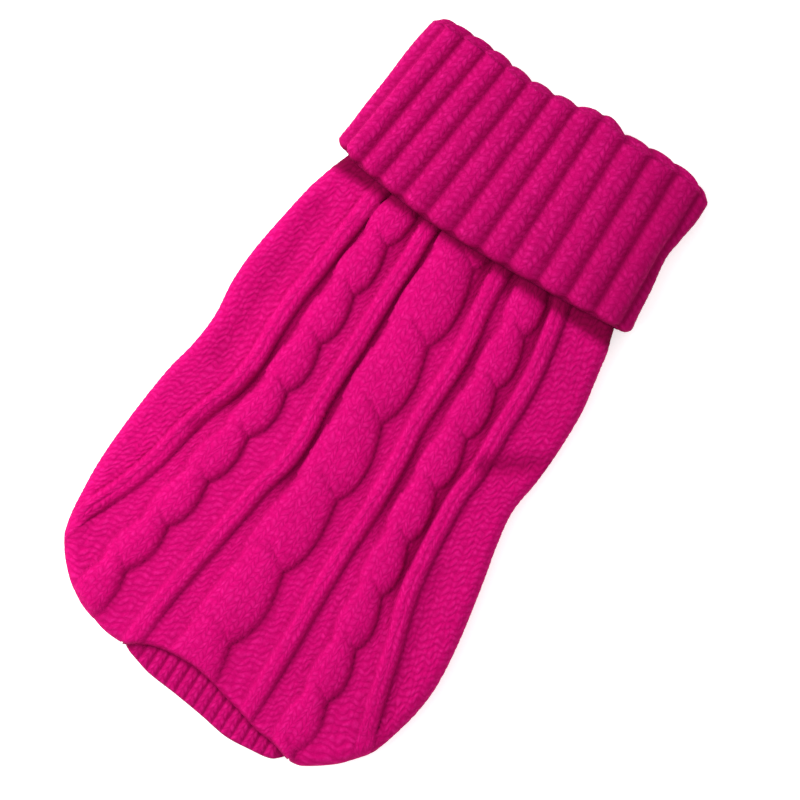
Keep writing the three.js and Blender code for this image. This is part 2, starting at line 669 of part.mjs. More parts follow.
// Two matching grids of points become a closed slab: the first is its top.
function wallGeometry(top, under) {
  const positions = [...top, ...under].flat().flatMap((p) => [p.x, p.y, p.z]);
  const rows = top.length;
  const columns = top[0].length;
  const id = (face, j, i) => face * rows * columns + j * columns + i;
  const index = [];
  const quad = (a, b, c, d) => index.push(a, b, c, a, c, d);
  for (let j = 0; j + 1 < rows; j += 1) {
    for (let i = 0; i + 1 < columns; i += 1) {
      quad(id(0, j + 1, i), id(0, j + 1, i + 1), id(0, j, i + 1), id(0, j, i));
      quad(id(1, j, i), id(1, j, i + 1), id(1, j + 1, i + 1), id(1, j + 1, i));
    }
    quad(id(0, j, 0), id(1, j, 0), id(1, j + 1, 0), id(0, j + 1, 0));
    quad(id(0, j + 1, columns - 1), id(1, j + 1, columns - 1), id(1, j, columns - 1), id(0, j, columns - 1));
  }
  for (let i = 0; i + 1 < columns; i += 1) {
    quad(id(0, 0, i), id(0, 0, i + 1), id(1, 0, i + 1), id(1, 0, i));
    quad(id(0, rows - 1, i + 1), id(0, rows - 1, i), id(1, rows - 1, i), id(1, rows - 1, i + 1));
  }
  return indexed(positions, index);
}

function legCutter(side) {
  const cutter = new THREE.CylinderGeometry(1, 1, 6 * wallThickness, legHole.facets);
  cutter.rotateX(Math.PI / 2);
  cutter.scale(legHole.halfWidth, legHole.halfLength, 1);
  cutter.translate(legHole.middleX + side * legHole.fromMiddle, legHole.y, 0);
  return cutter;
}

// A band of rib round a leg opening: a flat ring just inside the belly's cut edge.
function legBand(side) {
  const profile = [
    { inward: seamGap, z: 0.4 },
    { inward: seamGap, z: wallThickness - 0.6 },
    { inward: seamGap + 0.8, z: wallThickness },
    { inward: legHole.bandWidth - 0.9, z: wallThickness },
    { inward: legHole.bandWidth, z: wallThickness / 2 },
    { inward: legHole.bandWidth - 0.9, z: 0 },
    { inward: seamGap + 0.8, z: 0 },
  ];
  const rings = profile.map(({ inward, z }) => {
    const ring = [];
    for (let i = 0; i < legHole.facets; i += 1) {
      const turn = (2 * Math.PI * i) / legHole.facets;
      const x = legHole.middleX + side * legHole.fromMiddle + (legHole.halfWidth - inward) * Math.cos(turn);
      ring.push(new THREE.Vector3(x, legHole.y + (legHole.halfLength - inward) * Math.sin(turn), z));
    }
    return ring;
  });
  return ringGeometry(rings);
}

// Rings of points become a closed tube: ring j joins ring j + 1, and the last joins the first.
function ringGeometry(rings) {
  const positions = rings.flat().flatMap((p) => [p.x, p.y, p.z]);
  const index = [];
  const around = rings[0].length;
  for (let j = 0; j < rings.length; j += 1) {
    const next = (j + 1) % rings.length;
    for (let i = 0; i < around; i += 1) {
      const k = (i + 1) % around;
      const [a, b, c, d] = [j * around + i, j * around + k, next * around + k, next * around + i];
      index.push(a, b, c, a, c, d);
    }
  }
  return indexed(positions, index);
}

function indexed(positions, index) {
  const geometry = new THREE.BufferGeometry();
  geometry.setAttribute('position', new THREE.Float32BufferAttribute(positions, 3));
  geometry.setIndex(index);
  return geometry;
}

function toSolid(geometry) {
  const bare = geometry.clone();
  bare.deleteAttribute('normal');
  bare.deleteAttribute('uv');
  const merged = mergeVertices(bare, 1e-4);
  const vertProperties = new Float32Array(merged.attributes.position.array);
  const triVerts = new Uint32Array(merged.index.array);
  return new wasm.Manifold(new wasm.Mesh({ numProp: 3, vertProperties, triVerts }));
}

function fromSolid(solid) {
  const mesh = solid.getMesh();
  return indexed(Array.from(mesh.vertProperties), Array.from(mesh.triVerts));
}

// Height of a round-topped rib: from one valley, at a whole number, to the next.
function ribHeightAt(count, ribs) {
  const off = Math.abs(2 * (count - Math.floor(count)) - 1) / ribs.crestShare;
  return off < 1 ? ribs.height * Math.sqrt(1 - off * off) : 0;
}

// The columns round a ribbed tube: over its top and a little round both edges with the ribs, then
// back along the plain underside.
function ribbedColumns(ribs, count, samples) {
  const columns = [];
  for (let k = 0; k < count; k += 1) {
    for (const part of samples) columns.push({ part: 'top', count: k + part, rise: ribHeightAt(k + part, ribs) });
  }
  columns.push({ part: 'top', count, rise: 0 });
  const arcSteps = 3;
  const underSteps = 8;
  for (let i = 1; i < arcSteps; i += 1) columns.push({ part: 'right', share: i / arcSteps, rise: 0 });
  for (let i = 0; i <= underSteps; i += 1) columns.push({ part: 'under', share: i / underSteps, rise: 0 });
  for (let i = 1; i < arcSteps; i += 1) columns.push({ part: 'left', share: i / arcSteps, rise: 0 });
  return columns;
}

// Where a column lies on a section. The ribbed part reaches from one end to the other, both measured
// round the edges, and place gives how far along it the column is.
function ringPoint(section, column, depth, ends, place) {
  const { left, right, under, radius } = section;
  const from = left + radius;
  const to = right - radius;
  const turnLength = Math.PI * radius;
  if (column.part === 'under') return { x: lerp(to, from, column.share), z: under + depth };
  if (column.part === 'right') return onSection(section, lerp(ends.to, to + turnLength, column.share), depth);
  if (column.part === 'left') return onSection(section, lerp(from - turnLength, ends.from, column.share), depth);
  return onSection(section, place, depth);
}

// The collar is one tube of rib, folded down over itself. Each ring of points follows the knit from
// the loose edge over the fold to the seam at the neck and back between the two layers.
function collar() {
  const last = collarValleys.length - 1;
  const columns = ribbedColumns(collarRibs, last, [0, 0.13, 0.35, 0.65, 0.87]);
  const half = wallThickness / 2;
  const rings = [];
  const valleyAt = (k, y) => {
    const row = collarValleys[Math.min(k, last)];
    return lerp(row.low, row.high, (y - collarRibs.lowY) / (collarRibs.highY - collarRibs.lowY));
  };
  const cuffPoint = (column, y, depth) => {
    const ends = { from: valleyAt(0, y), to: valleyAt(last, y) };
    const k = Math.floor(column.count);
    const place = column.part === 'top' ? lerp(valleyAt(k, y), valleyAt(k + 1, y), column.count - k) : 0;
    return ringPoint(sectionAt(cuffSections, y), column, depth, ends, place);
  };
  const tubePoint = (column, y, depth) => {
    const section = sectionAt(neckTubeSections, y);
    const reach = 0.5 * section.radius;
    const ends = { from: section.left - reach, to: section.right + reach };
    const count = column.part === 'top' ? column.count : 0;
    const from = valleyAt(0, 100);
    const reached = lerp(valleyAt(Math.floor(count), 100), valleyAt(Math.floor(count) + 1, 100), count % 1);
    const share = (reached - from) / (valleyAt(last, 100) - from);
    return ringPoint(section, column, depth, ends, lerp(ends.from, ends.to, share));
  };
  const foldRoom = 4.2;
  const foldY = (column) => read(collarFold, 'top', cuffPoint(column, 125, 0).x, 'x') - foldRoom;
  const looseEdge = (column) => (column.part === 'top' ? read(cuffEdge, 'y', cuffPoint(column, 70, 0).x, 'x') : 71);
  const ring = (pointOf) => rings.push(columns.map(pointOf));
  const layer = (pointAt, from, to, steps, depthOf) => {
    for (const step of steps) {
      ring((column) => {
        const y = lerp(from(column), to(column), step);
        const point = pointAt(column, y, depthOf(column, step));
        return new THREE.Vector3(point.x, y, point.z);
      });
    }
  };
  const turnOver = (depthShare, angles) => {
    for (const angle of angles.map(THREE.MathUtils.degToRad)) {
      ring((column) => {
        const y = foldY(column);
        const outer = cuffPoint(column, y, half);
        const inner = tubePoint(column, y, half);
        const reach = Math.hypot(outer.x - inner.x, outer.z - inner.z) / 2;
        const radius = reach + depthShare * half + (depthShare > 0 ? 0.6 * column.rise : 0);
        const share = (radius / reach) * Math.cos(angle);
        const x = (outer.x + inner.x) / 2 + (share * (outer.x - inner.x)) / 2;
        const z = (outer.z + inner.z) / 2 + (share * (outer.z - inner.z)) / 2;
        const roll = foldRoom - 1 - (1 - depthShare) * half + (depthShare > 0 ? 0.6 * column.rise : 0);
        return new THREE.Vector3(x, y + roll * Math.sin(angle), z);
      });
    }
  };
  const neckSeam = () => neckY + seamGap;
  layer(cuffPoint, looseEdge, foldY, [0, 0.03, 0.35, 0.7, 1], (column, step) => (step > 0 ? -column.rise : half / 2));
  turnOver(1, [45, 90, 135]);
  layer(tubePoint, foldY, neckSeam, [0, 1], () => wallThickness);
  layer(tubePoint, neckSeam, foldY, [0, 1], () => 0);
  turnOver(-1, [90]);
  layer(cuffPoint, foldY, looseEdge, [0, 0.5, 1], () => wallThickness);
  return ringGeometry(rings);
}

// The hem band is a short tube of fine rib. Its top layer starts under the back's lower edge, and its
// under layer starts where the belly ends.
function hemBand() {
  const columns = ribbedColumns(hemRibs, hemRibs.count, [0, 0.25, 0.5, 0.75]);
  const rings = [];
  const pointAt = (column, y, depth) => {
    const section = sectionAt(hemSections, y);
    const ends = { from: section.left + section.radius, to: section.right - section.radius };
    const place = column.part === 'top' ? lerp(ends.from, ends.to, column.count / hemRibs.count) : 0;
    return ringPoint(section, column, depth, ends, place);
  };
  const start = (column) => (column.part === 'top' ? hemStart.top : hemStart.under);
  const end = (column, x) => Math.max(read(hemEdge, 'y', x, 'x'), column.part === 'under' ? -131 : -140);
  const layer = (steps, depthOf) => {
    for (const step of steps) {
      rings.push(
        columns.map((column) => {
          const x = pointAt(column, -120, 0).x;
          const y = lerp(start(column), end(column, x), step);
          const point = pointAt(column, y, depthOf(column, step));
          return new THREE.Vector3(point.x, y, point.z);
        }),
      );
    }
  };
  layer([1, 0.96, 0], (column, step) => (step < 1 ? -column.rise : bandThickness / 4));
  layer([0, 1], () => bandThickness);
  return ringGeometry(rings);
}

function knitMaterial() {
  return new THREE.MeshStandardMaterial({ color: knitPink, roughness: 0.9, metalness: 0 });
}

function piece(name, geometry) {
  const mesh = new THREE.Mesh(geometry, knitMaterial());
  mesh.name = name;
  return mesh;
}

const sweater = new THREE.Group();
sweater.add(piece('back_panel', backPanel()));
sweater.add(piece('belly_panel', bellyPanel()));
sweater.add(piece('collar', collar()));
sweater.add(piece('hem_band', hemBand()));
sweater.add(piece('leg_band_left', legBand(-1)));
sweater.add(piece('leg_band_right', legBand(1)));


// The part's frame starts at the middle of its footprint, on the table.
const box = new THREE.Box3().setFromObject(sweater);
sweater.position.set(-(box.min.x + box.max.x) / 2, -(box.min.y + box.max.y) / 2, -box.min.z);

export default sweater;
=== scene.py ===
import math

import bmesh
import bpy
import numpy as np
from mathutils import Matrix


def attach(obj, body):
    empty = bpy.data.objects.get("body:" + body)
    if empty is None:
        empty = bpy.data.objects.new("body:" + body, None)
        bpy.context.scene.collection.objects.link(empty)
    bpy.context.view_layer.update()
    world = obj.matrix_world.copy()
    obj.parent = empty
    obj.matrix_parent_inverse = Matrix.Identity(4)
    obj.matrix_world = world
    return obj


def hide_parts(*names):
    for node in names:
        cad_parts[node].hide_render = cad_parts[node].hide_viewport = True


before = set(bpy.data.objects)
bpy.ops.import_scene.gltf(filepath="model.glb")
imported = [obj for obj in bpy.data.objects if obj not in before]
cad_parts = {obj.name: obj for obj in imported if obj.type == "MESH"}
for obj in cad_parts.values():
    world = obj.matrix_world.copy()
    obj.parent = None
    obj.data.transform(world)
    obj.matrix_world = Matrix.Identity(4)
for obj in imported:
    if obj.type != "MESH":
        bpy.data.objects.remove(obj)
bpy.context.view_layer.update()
print("frame loaded")

# Sizes are in millimetres as drawn for the solids, whose middle was then moved by this much.
mm = 0.001
shift = np.array([0.061, 0.145, 0.0])

cameraValues = {"lens": 100, "overX": 5.48, "overY": 4.86, "height": 831, "turn": 33.4}
lightValues = {
    "keyPower": 2.9, "keySize": 0.3, "keyPlace": (-0.40, 0.02, 0.34),
    "fillPower": 1.1, "fillSize": 0.4, "fillPlace": (-0.32, -0.36, 0.36),
    "skyStrength": 0.80, "floorTone": 0.95, "floorGlow": 0.42, "floorDrop": 0.0002,
}


def makeCamera(values):
    data = bpy.data.cameras.new("camera")
    data.lens = values["lens"]
    data.sensor_width = 36
    data.clip_start = 0.01
    camera = bpy.data.objects.new("camera", data)
    camera.location = (values["overX"] * mm, values["overY"] * mm, values["height"] * mm)
    camera.rotation_euler = (0, 0, math.radians(values["turn"]))
    bpy.context.scene.collection.objects.link(camera)
    bpy.context.scene.camera = camera


def makeLights(values):
    for name, power, size, place in (
        ("key", values["keyPower"], values["keySize"], values["keyPlace"]),
        ("fill", values["fillPower"], values["fillSize"], values["fillPlace"]),
    ):
        data = bpy.data.lights.new(name, "AREA")
        data.energy = power
        data.size = size
        light = bpy.data.objects.new(name, data)
        light.location = place
        aim = -light.location
        light.rotation_euler = aim.to_track_quat("-Z", "Y").to_euler()
        bpy.context.scene.collection.objects.link(light)
    world = bpy.data.worlds.new("studio")
    world.use_nodes = True
    sky = world.node_tree.nodes["Background"]
    sky.inputs["Color"].default_value = (1, 1, 1, 1)
    sky.inputs["Strength"].default_value = values["skyStrength"]
    bpy.context.scene.world = world
    bpy.context.scene.view_settings.view_transform = "Standard"


def makeFloor(values):
    bm = bmesh.new()
    bmesh.ops.create_grid(bm, x_segments=1, y_segments=1, size=4)
    bmesh.ops.translate(bm, verts=bm.verts, vec=(0, 0, -values["floorDrop"]))
    mesh = bpy.data.meshes.new("floor")
    bm.to_mesh(mesh)
    bm.free()
    floor = bpy.data.objects.new("floor", mesh)
    bpy.context.scene.collection.objects.link(floor)
    paper = bpy.data.materials.new("paper")
    paper.use_nodes = True
    shader = paper.node_tree.nodes["Principled BSDF"]
    tone = values["floorTone"]
    shader.inputs["Base Color"].default_value = (tone, tone, tone, 1)
    shader.inputs["Roughness"].default_value = 0.9
    shader.inputs["Emission Color"].default_value = (1, 1, 1, 1)
    shader.inputs["Emission Strength"].default_value = values["floorGlow"]
    mesh.materials.append(paper)


makeCamera(cameraValues)
makeLights(lightValues)
makeFloor(lightValues)
print("camera, lights and floor made")


def table(names, *rows):
    return dict(zip(names.split(), np.array(rows, float).T))


# One column of a table read at many places, on a smooth curve through its rows.
def read(rows, name, place, along="y"):
    at = rows[along]
    value = rows[name]
    last = len(at) - 1
    before = np.maximum(np.arange(last + 1) - 1, 0)
    after = np.minimum(np.arange(last + 1) + 1, last)
    slope = (value[after] - value[before]) / (at[after] - at[before])
    place = np.clip(place, at[0], at[-1])
    k = np.clip(np.searchsorted(at, place, side="right") - 1, 0, last - 1)
    span = at[k + 1] - at[k]
    t = (place - at[k]) / span
    start = (1 + 2 * t) * (1 - t) ** 2 * value[k] + t * (1 - t) ** 2 * span * slope[k]
    end = t * t * (3 - 2 * t) * value[k + 1] + t * t * (t - 1) * span * slope[k + 1]
    return start + end


def smooth(value, low, high):
    t = np.clip((value - low) / (high - low), 0, 1)
    return t * t * (3 - 2 * t)


def mix(a, b, share):
    return a + (b - a) * share


bodySections = table(
    "y left right under top",
    (-105, -71.6, 71.0, 0, 10.4), (-98, -73.4, 72.8, 0, 10.3), (-88, -74.6, 74.8, 0, 10.1),
    (-76, -75.5, 75.4, 0, 9.8), (-60, -75.2, 73.6, 0, 9.4), (-45, -74.2, 70.8, 0, 9.1),
    (-32, -72.8, 68.0, 0, 8.9), (-20, -70.4, 65.2, 0, 8.7), (-7, -69.5, 63.3, 0, 8.6),
    (8, -71.1, 64.8, 0, 8.6), (22, -70.7, 65.2, 0, 8.7), (38, -68.6, 64.5, 0, 8.9),
    (52, -66.4, 62.0, 0, 9.2), (55, -65.6, 61.4, 0, 9.3), (62, -63.6, 60.0, 1.5, 9.6),
    (69, -61.0, 57.6, 3.3, 9.9), (77.5, -57.5, 55.5, 3.3, 9.9),
)
lowerEdge = table(
    "x y",
    (-71.6, -105), (-68.4, -110), (-64, -115), (-58.2, -120), (-52.2, -123), (-46, -125.3),
    (-40, -127), (-34, -127.5), (-30, -127), (-25.5, -123.8), (-18, -121), (-5, -119.6),
    (5, -121), (12, -122.8), (20, -124.5), (28, -126.6), (36, -127.3), (43, -129.2),
    (48, -129.6), (53.8, -126.2), (60.8, -120.6), (65.6, -115), (69.2, -110), (71, -105),
)
sideSeams = table(
    "y left right lift",
    (-105, 11.1, 10.8, 5), (-98, 11.6, 11.4, 3.4), (-88, 11.6, 12, 1.6), (-75, 11.5, 12, 0),
    (-38, 10.5, 10.5, 0), (0, 10.3, 10, 0), (40, 10.5, 10.3, 0), (77.5, 9, 9, 0),
)
lowerSeams = table(
    "x seamX seamY",
    (-71.6, -60.5, -100), (-66, -57, -105.6), (-60, -53, -110.4), (-54, -49.4, -114.4),
    (-48, -46, -118.3), (-40, -39.5, -118.3), (-32, -32, -118.3), (44, 44, -118.3),
    (52, 50, -118.3), (57, 53.6, -114.4), (62, 56.4, -110.4), (67, 58.8, -105.4), (71, 60.2, -100),
)
backLines = table(
    "y ribA cableA ribB cableB ribC cableC ribD",
    (-126.8, -82, -50.5, -28.4, -5, 21.6, 40, 74), (-120, -79, -50.5, -28.2, -5, 21.6, 40, 70),
    (-112, -75.5, -50, -27.8, -4.8, 21.4, 40, 66), (-100, -71.5, -48.5, -26.7, -4.3, 21, 39.6, 61.5),
    (-88, -66.6, -46, -25.2, -3.5, 20.4, 38.6, 57.8), (-75, -61.5, -44, -23.4, -3, 19.5, 37.2, 54.2),
    (-62, -57.8, -42, -21.6, -2.6, 19, 35.5, 50), (-50, -55.6, -40.3, -20.2, -2, 18.6, 34, 46.8),
    (-38, -53, -38.4, -17.2, -1, 18.5, 32.6, 45), (-25, -48.8, -36.2, -17, -1.2, 18.1, 31.4, 43.6),
    (-12, -47.4, -35.4, -18.6, -2.2, 17, 30.4, 42.8), (0, -48, -35, -19, -3.2, 15.6, 29.8, 43.8),
    (15, -48, -34.8, -19.4, -3.6, 15.4, 29.2, 42.6), (28, -46.8, -34.6, -19.9, -4.2, 15.3, 28.6, 42.3),
    (40, -46, -34.6, -20.3, -4.8, 13.8, 27.5, 41.3), (50, -45, -34.2, -20.3, -5.2, 12, 26.5, 39.5),
    (62, -44, -33.5, -20.8, -5.6, 10.7, 24.6, 37), (77.5, -40.5, -30, -18.4, -3.5, 11.6, 23.2, 34),
)
cuffSections = table(
    "y left right under top",
    (64, -65, 61.2, 0, 15.3), (72, -65, 61.1, 0, 14.9), (80, -64.3, 60, 0, 14.2),
    (90, -63.6, 58.8, 0, 13.6), (103, -62.5, 56.9, 0, 13.4), (112, -62, 57.8, 0, 13.3),
    (121, -61.1, 59, 0, 13.2), (131, -59.4, 58.8, 0, 13.2),
)
neckTubeSections = table(
    "y left right under top",
    (77.8, -57.5, 55.5, 3.3, 9.9), (104, -57.2, 52.4, 3.3, 9.9), (131, -54.8, 53.6, 3.3, 9.9),
)
collarFold = table(
    "x top",
    (-60, 132.6), (-40, 132.6), (-20, 131), (0, 132.4), (12, 135.2), (22, 133.4), (36, 134.2),
    (50, 134), (59, 131.8),
)
cuffEdge = table(
    "x y",
    (-66, 71), (-58, 68.8), (-44, 67), (-22, 65.4), (0, 66), (30, 68), (46, 69.4), (62, 71),
)
collarValleys = np.array([
    (-72.5, -66.5), (-63.2, -57.2), (-54, -48.5), (-45, -39), (-34.5, -29.5), (-23.5, -19.5),
    (-12, -9.5), (-0.5, 0.5), (11, 10.5), (23.5, 22), (35.5, 33.5), (47, 45), (58.4, 56), (68.5, 65.5),
])
hemSections = table("y left right under top", (-135.5, -30, 42.8, 0, 6.3), (-112, -30.4, 42.8, 0, 6.3))
hemEdge = table(
    "x y",
    (-30, -127.9), (-24, -129.6), (-17, -131.4), (-5, -132.4), (8, -133.8), (20, -135.4),
    (30, -134.5), (38, -133.2), (43, -130.4),
)

# Knit forms. Places are in stitches across and rows along, and heights in millimetres.
stitchValues = {
    "row": 2.9, "wale": 4.0, "lean": 0.7, "legRise": 0.22, "purlRise": 0.24, "purlLean": 0.5, "uneven": 0.18,
}


# Hand-fed yarn: no stitch sits quite square.
def uneven(across, along):
    by = stitchValues["uneven"]
    a = np.sin(2.9 * across + 1.3 * along + 2 * np.sin(0.37 * along)) + np.sin(1.1 * along - 4.7 * across + 1)
    b = np.sin(1.9 * along + 2.3 * across + 1.5 * np.sin(0.53 * across))
    b = b + np.sin(5.1 * across + 0.7 * along + 2)
    return across + 0.5 * by * a, along + by * b


# A column of knit stitches: two leaning legs a row.
def knitLegs(across, along):
    side = np.abs(across - np.floor(across) - 0.5)
    leg = np.sqrt(np.clip(1 - ((side - 0.25) / 0.27) ** 2, 0, 1))
    part = along - stitchValues["lean"] * side * 2
    part = part - np.floor(part)
    return leg * np.sqrt(np.clip(1 - (2 * part - 1) ** 2, 0, 1))


# Purl ground: two short loop heads a stitch, leaning up to the right, the second half a row higher.
def purlLoops(across, along):
    column = np.floor(2 * across)
    side = 2 * across - column - 0.5
    part = along + 0.5 * column - stitchValues["purlLean"] * side
    part = part - np.floor(part) - 0.5
    return np.sqrt(np.clip(1 - (side / 0.62) ** 2 - (part / 0.46) ** 2, 0, 1))


mergeDistance = 2e-6


# Writes one value or vector for each point of a mesh, for the yarn material to read.
def giveAttribute(mesh, key, kind, field, data):
    mesh.attributes.new(key, kind, "POINT").data.foreach_set(field, data.astype(np.float32).ravel())


# Meshes: grids of points, laid side by side in one mesh and joined where their edges meet.
def meshOf(name, grids, bridges=False):
    bm = bmesh.new()
    starts = []
    for grid in grids:
        starts.append(len(bm.verts))
        rows, columns = grid["points"].shape[:2]
        bmesh.ops.create_grid(bm, x_segments=columns - 1, y_segments=rows - 1, size=1)
        bm.verts.ensure_lookup_table()
    mesh = bpy.data.meshes.new(name)
    bm.to_mesh(mesh)
    bm.free()
    count = len(mesh.vertices)
    place = np.concatenate([grid["points"].reshape(-1, 3) for grid in grids])
    if len(place) != count:
        raise ValueError(f"{name}: {len(place)} places for {count} points")
    mesh.vertices.foreach_set("co", ((place + shift) * mm).astype(np.float32).ravel())
    # Each point's painted shade: how much darker its yarn is drawn where shade falls.
    valleys = np.concatenate([grid["valley"].ravel() for grid in grids])
    stitches = np.concatenate([grid["stitch"].reshape(-1, 3) for grid in grids])
    giveAttribute(mesh, "valley", "FLOAT", "value", valleys)
    giveAttribute(mesh, "stitch", "FLOAT_VECTOR", "vector", stitches)
    bm = bmesh.new()
    bm.from_mesh(mesh)
    bmesh.ops.remove_doubles(bm, verts=bm.verts, dist=mergeDistance)
    if bridges:
        edges = [edge for edge in bm.edges if edge.is_boundary]
        bmesh.ops.bridge_loops(bm, edges=edges)
    bmesh.ops.recalc_face_normals(bm, faces=bm.faces)
    bm.to_mesh(mesh)
    triangles = sum(len(face.verts) - 2 for face in bm.faces)
    openEdges = sum(1 for edge in bm.edges if edge.is_boundary)
    print(f"{name}: {len(bm.verts)} points, {triangles} triangles, {openEdges} open edges")
    bm.free()
    mesh.shade_smooth()
    piece = bpy.data.objects.new(name, mesh)
    bpy.context.scene.collection.objects.link(piece)
    return piece


# The back panel: narrow ribs, rope cables and purl ground between them.
backValues = {
    "ribWidth": 7.2, "ribRise": 2.3, "wall": 3.0, "crown": 0.8, "neckY": 77.5, "cornerY": -105,
    "groove": 0.3, "sink": 0.7, "shallowFrom": 5.5, "hiddenAbove": 66, "rowStep": 0.54, "bendFrom": -30,
    "lipLeft": -31.5, "lipRight": 44.6, "lipRadius": 3.0, "lipTurn": 77,
}
narrowCable = {
    "width": 14.4, "pitch": 21.8, "crossing": 6, "slip": 0.06, "waistLeft": 0.7, "waistRight": 0.6,
    "tip": 0.24, "tipSide": -0.34, "rise": 2.7, "step": 0.15, "wales": 2,
}
wideCable = {
    "width": 22, "pitch": 33, "crossing": -6, "slip": 0.12, "waistLeft": 0.85, "waistRight": 0.66,
    "tip": 0.28, "tipSide": -0.3, "rise": 3.0, "step": 0.1, "wales": 3,
}
cableValues = {"cableA": narrowCable, "cableB": wideCable, "cableC": narrowCable}
softFolds = (
    (46, 2, 66, 15, 4.2, 3.0), (-57, 48, -58, -18, 5, 1.5), (-43, -18, -52, -44, 3.2, 1.2),
    (-52, -44, -66, -92, 3.2, 0.9), (54, -40, 68, -104, 4, 0.9),
)
ribProfile = table("at height", (-0.5, 0), (-0.36, 0.7), (0, 1), (0.36, 0.7), (0.5, 0))
lineOrder = ("ribA", "cableA", "ribB", "cableB", "ribC", "cableC", "ribD")
gutterWales = 2


# The lines between ground and raised columns at each height of the panel, from left to right.
def backBorders(y):
    half = backValues["ribWidth"] / 2
    borders = []
    for name in lineOrder:
        centre = read(backLines, name, y)
        reach = cableValues[name]["width"] / 2 if name in cableValues else half
        borders += [centre - reach, centre + reach]
    return borders


# Stitches across the ground, counted from the left rib.
def groundWale(x, borders):
    wale = np.where(x < borders[0], (x - borders[0]) / stitchValues["wale"], 0.0)
    for k in range(1, len(borders) - 1):
        size = gutterWales if k % 2 else 4
        width = np.maximum(borders[k + 1] - borders[k], 0.01)
        wale = wale + size * np.clip((x - borders[k]) / width, 0, 1)
    return wale + np.where(x > borders[-1], (x - borders[-1]) / stitchValues["wale"], 0.0)


# How far a lobe swells between its two waists, fullest a little below its middle.
def lobeSwell(down):
    return np.clip(np.sin(np.pi * np.clip(down, 0, 1) ** 1.3), 0, 1) ** 0.75


# How far each edge of a cable lies from its middle.
def cableEdges(values, y):
    half = values["width"] / 2
    down = (values["crossing"] - y) / values["pitch"]
    right, left = down - np.floor(down), down - values["slip"] - np.floor(down - values["slip"])
    rightEdge = mix(values["waistRight"], 1, lobeSwell(right))
    leftEdge = mix(values["waistLeft"], 1, lobeSwell(left))
    return half * leftEdge, half * rightEdge, down


# One lobe of a cable, from its tip, which rides up over the lobe above it, to its end, which dives
# under the one below. Down is counted in lobes from its waist.
def lobeForm(values, across, down):
    half, tip = values["width"] / 2, values["tip"]
    opened = np.clip((down + tip) / tip, 0, 1) ** 0.6
    closed = np.clip(1 - ((down - 1) / tip), 0, 1) ** 0.6
    ends = np.where(down < 0, opened, np.where(down > 1, closed, 1.0))
    middle = values["tipSide"] * half * (1 - smooth(down, -tip, 0.35))
    right = half * mix(values["waistRight"], 1, lobeSwell(down)) * ends
    left = half * mix(values["waistLeft"], 1, lobeSwell(down - values["slip"])) * ends
    off = across - middle
    share = off / np.maximum(np.where(off < 0, left + middle, right - middle), 0.01)
    crest = values["rise"] * (1 - 0.42 * smooth(down, 0.72, 1.1))
    crest = (crest + values["step"] * (1 - smooth(down, 0.0, 0.5))) * mix(0.55, 1, opened)
    return crest * np.clip(1 - np.abs(share) ** 2.3, 0, 1) ** 0.6


# A cable is a column of plump lobes, each one's tip lying over the end of the one above.
def cableForm(values, across, y):
    _, _, down = cableEdges(values, y)
    part = down - np.floor(down)
    lobes = [lobeForm(values, across, part + step) for step in (1, 0, -1)]
    body = np.maximum(np.maximum(lobes[0], lobes[1]), lobes[2])
    second = np.minimum(np.maximum(lobes[0], lobes[2]), lobes[1])
    # The crease where one lobe meets the next is dented and painted with shade, less on the left, lit side.
    crease = np.exp(-(((body - second) / 0.35) ** 2)) * smooth(second, 0.3, 1.2)
    crease = crease * mix(0.25, 1, smooth(across, -0.35 * values["width"], 0.15 * values["width"]))
    wale = across / (values["width"] / 2 / values["wales"])
    # Painted shade at each lobe's lower right end, where it turns under, and along the cable's edges, darker
    # on its right side, away from the light.
    lobeEndShade = smooth(part, 0.6, 0.95) * smooth(across, 0, values["width"] / 3) * (body == lobes[1])
    edge = np.where(across > 0, 0.4, 0.22) * (1 - smooth(body, 0.0, 1.6))
    valley = np.maximum(np.maximum(0.26 * crease, edge), 0.2 * lobeEndShade)
    return body - 0.25 * crease, np.clip(valley, 0, 1), wale
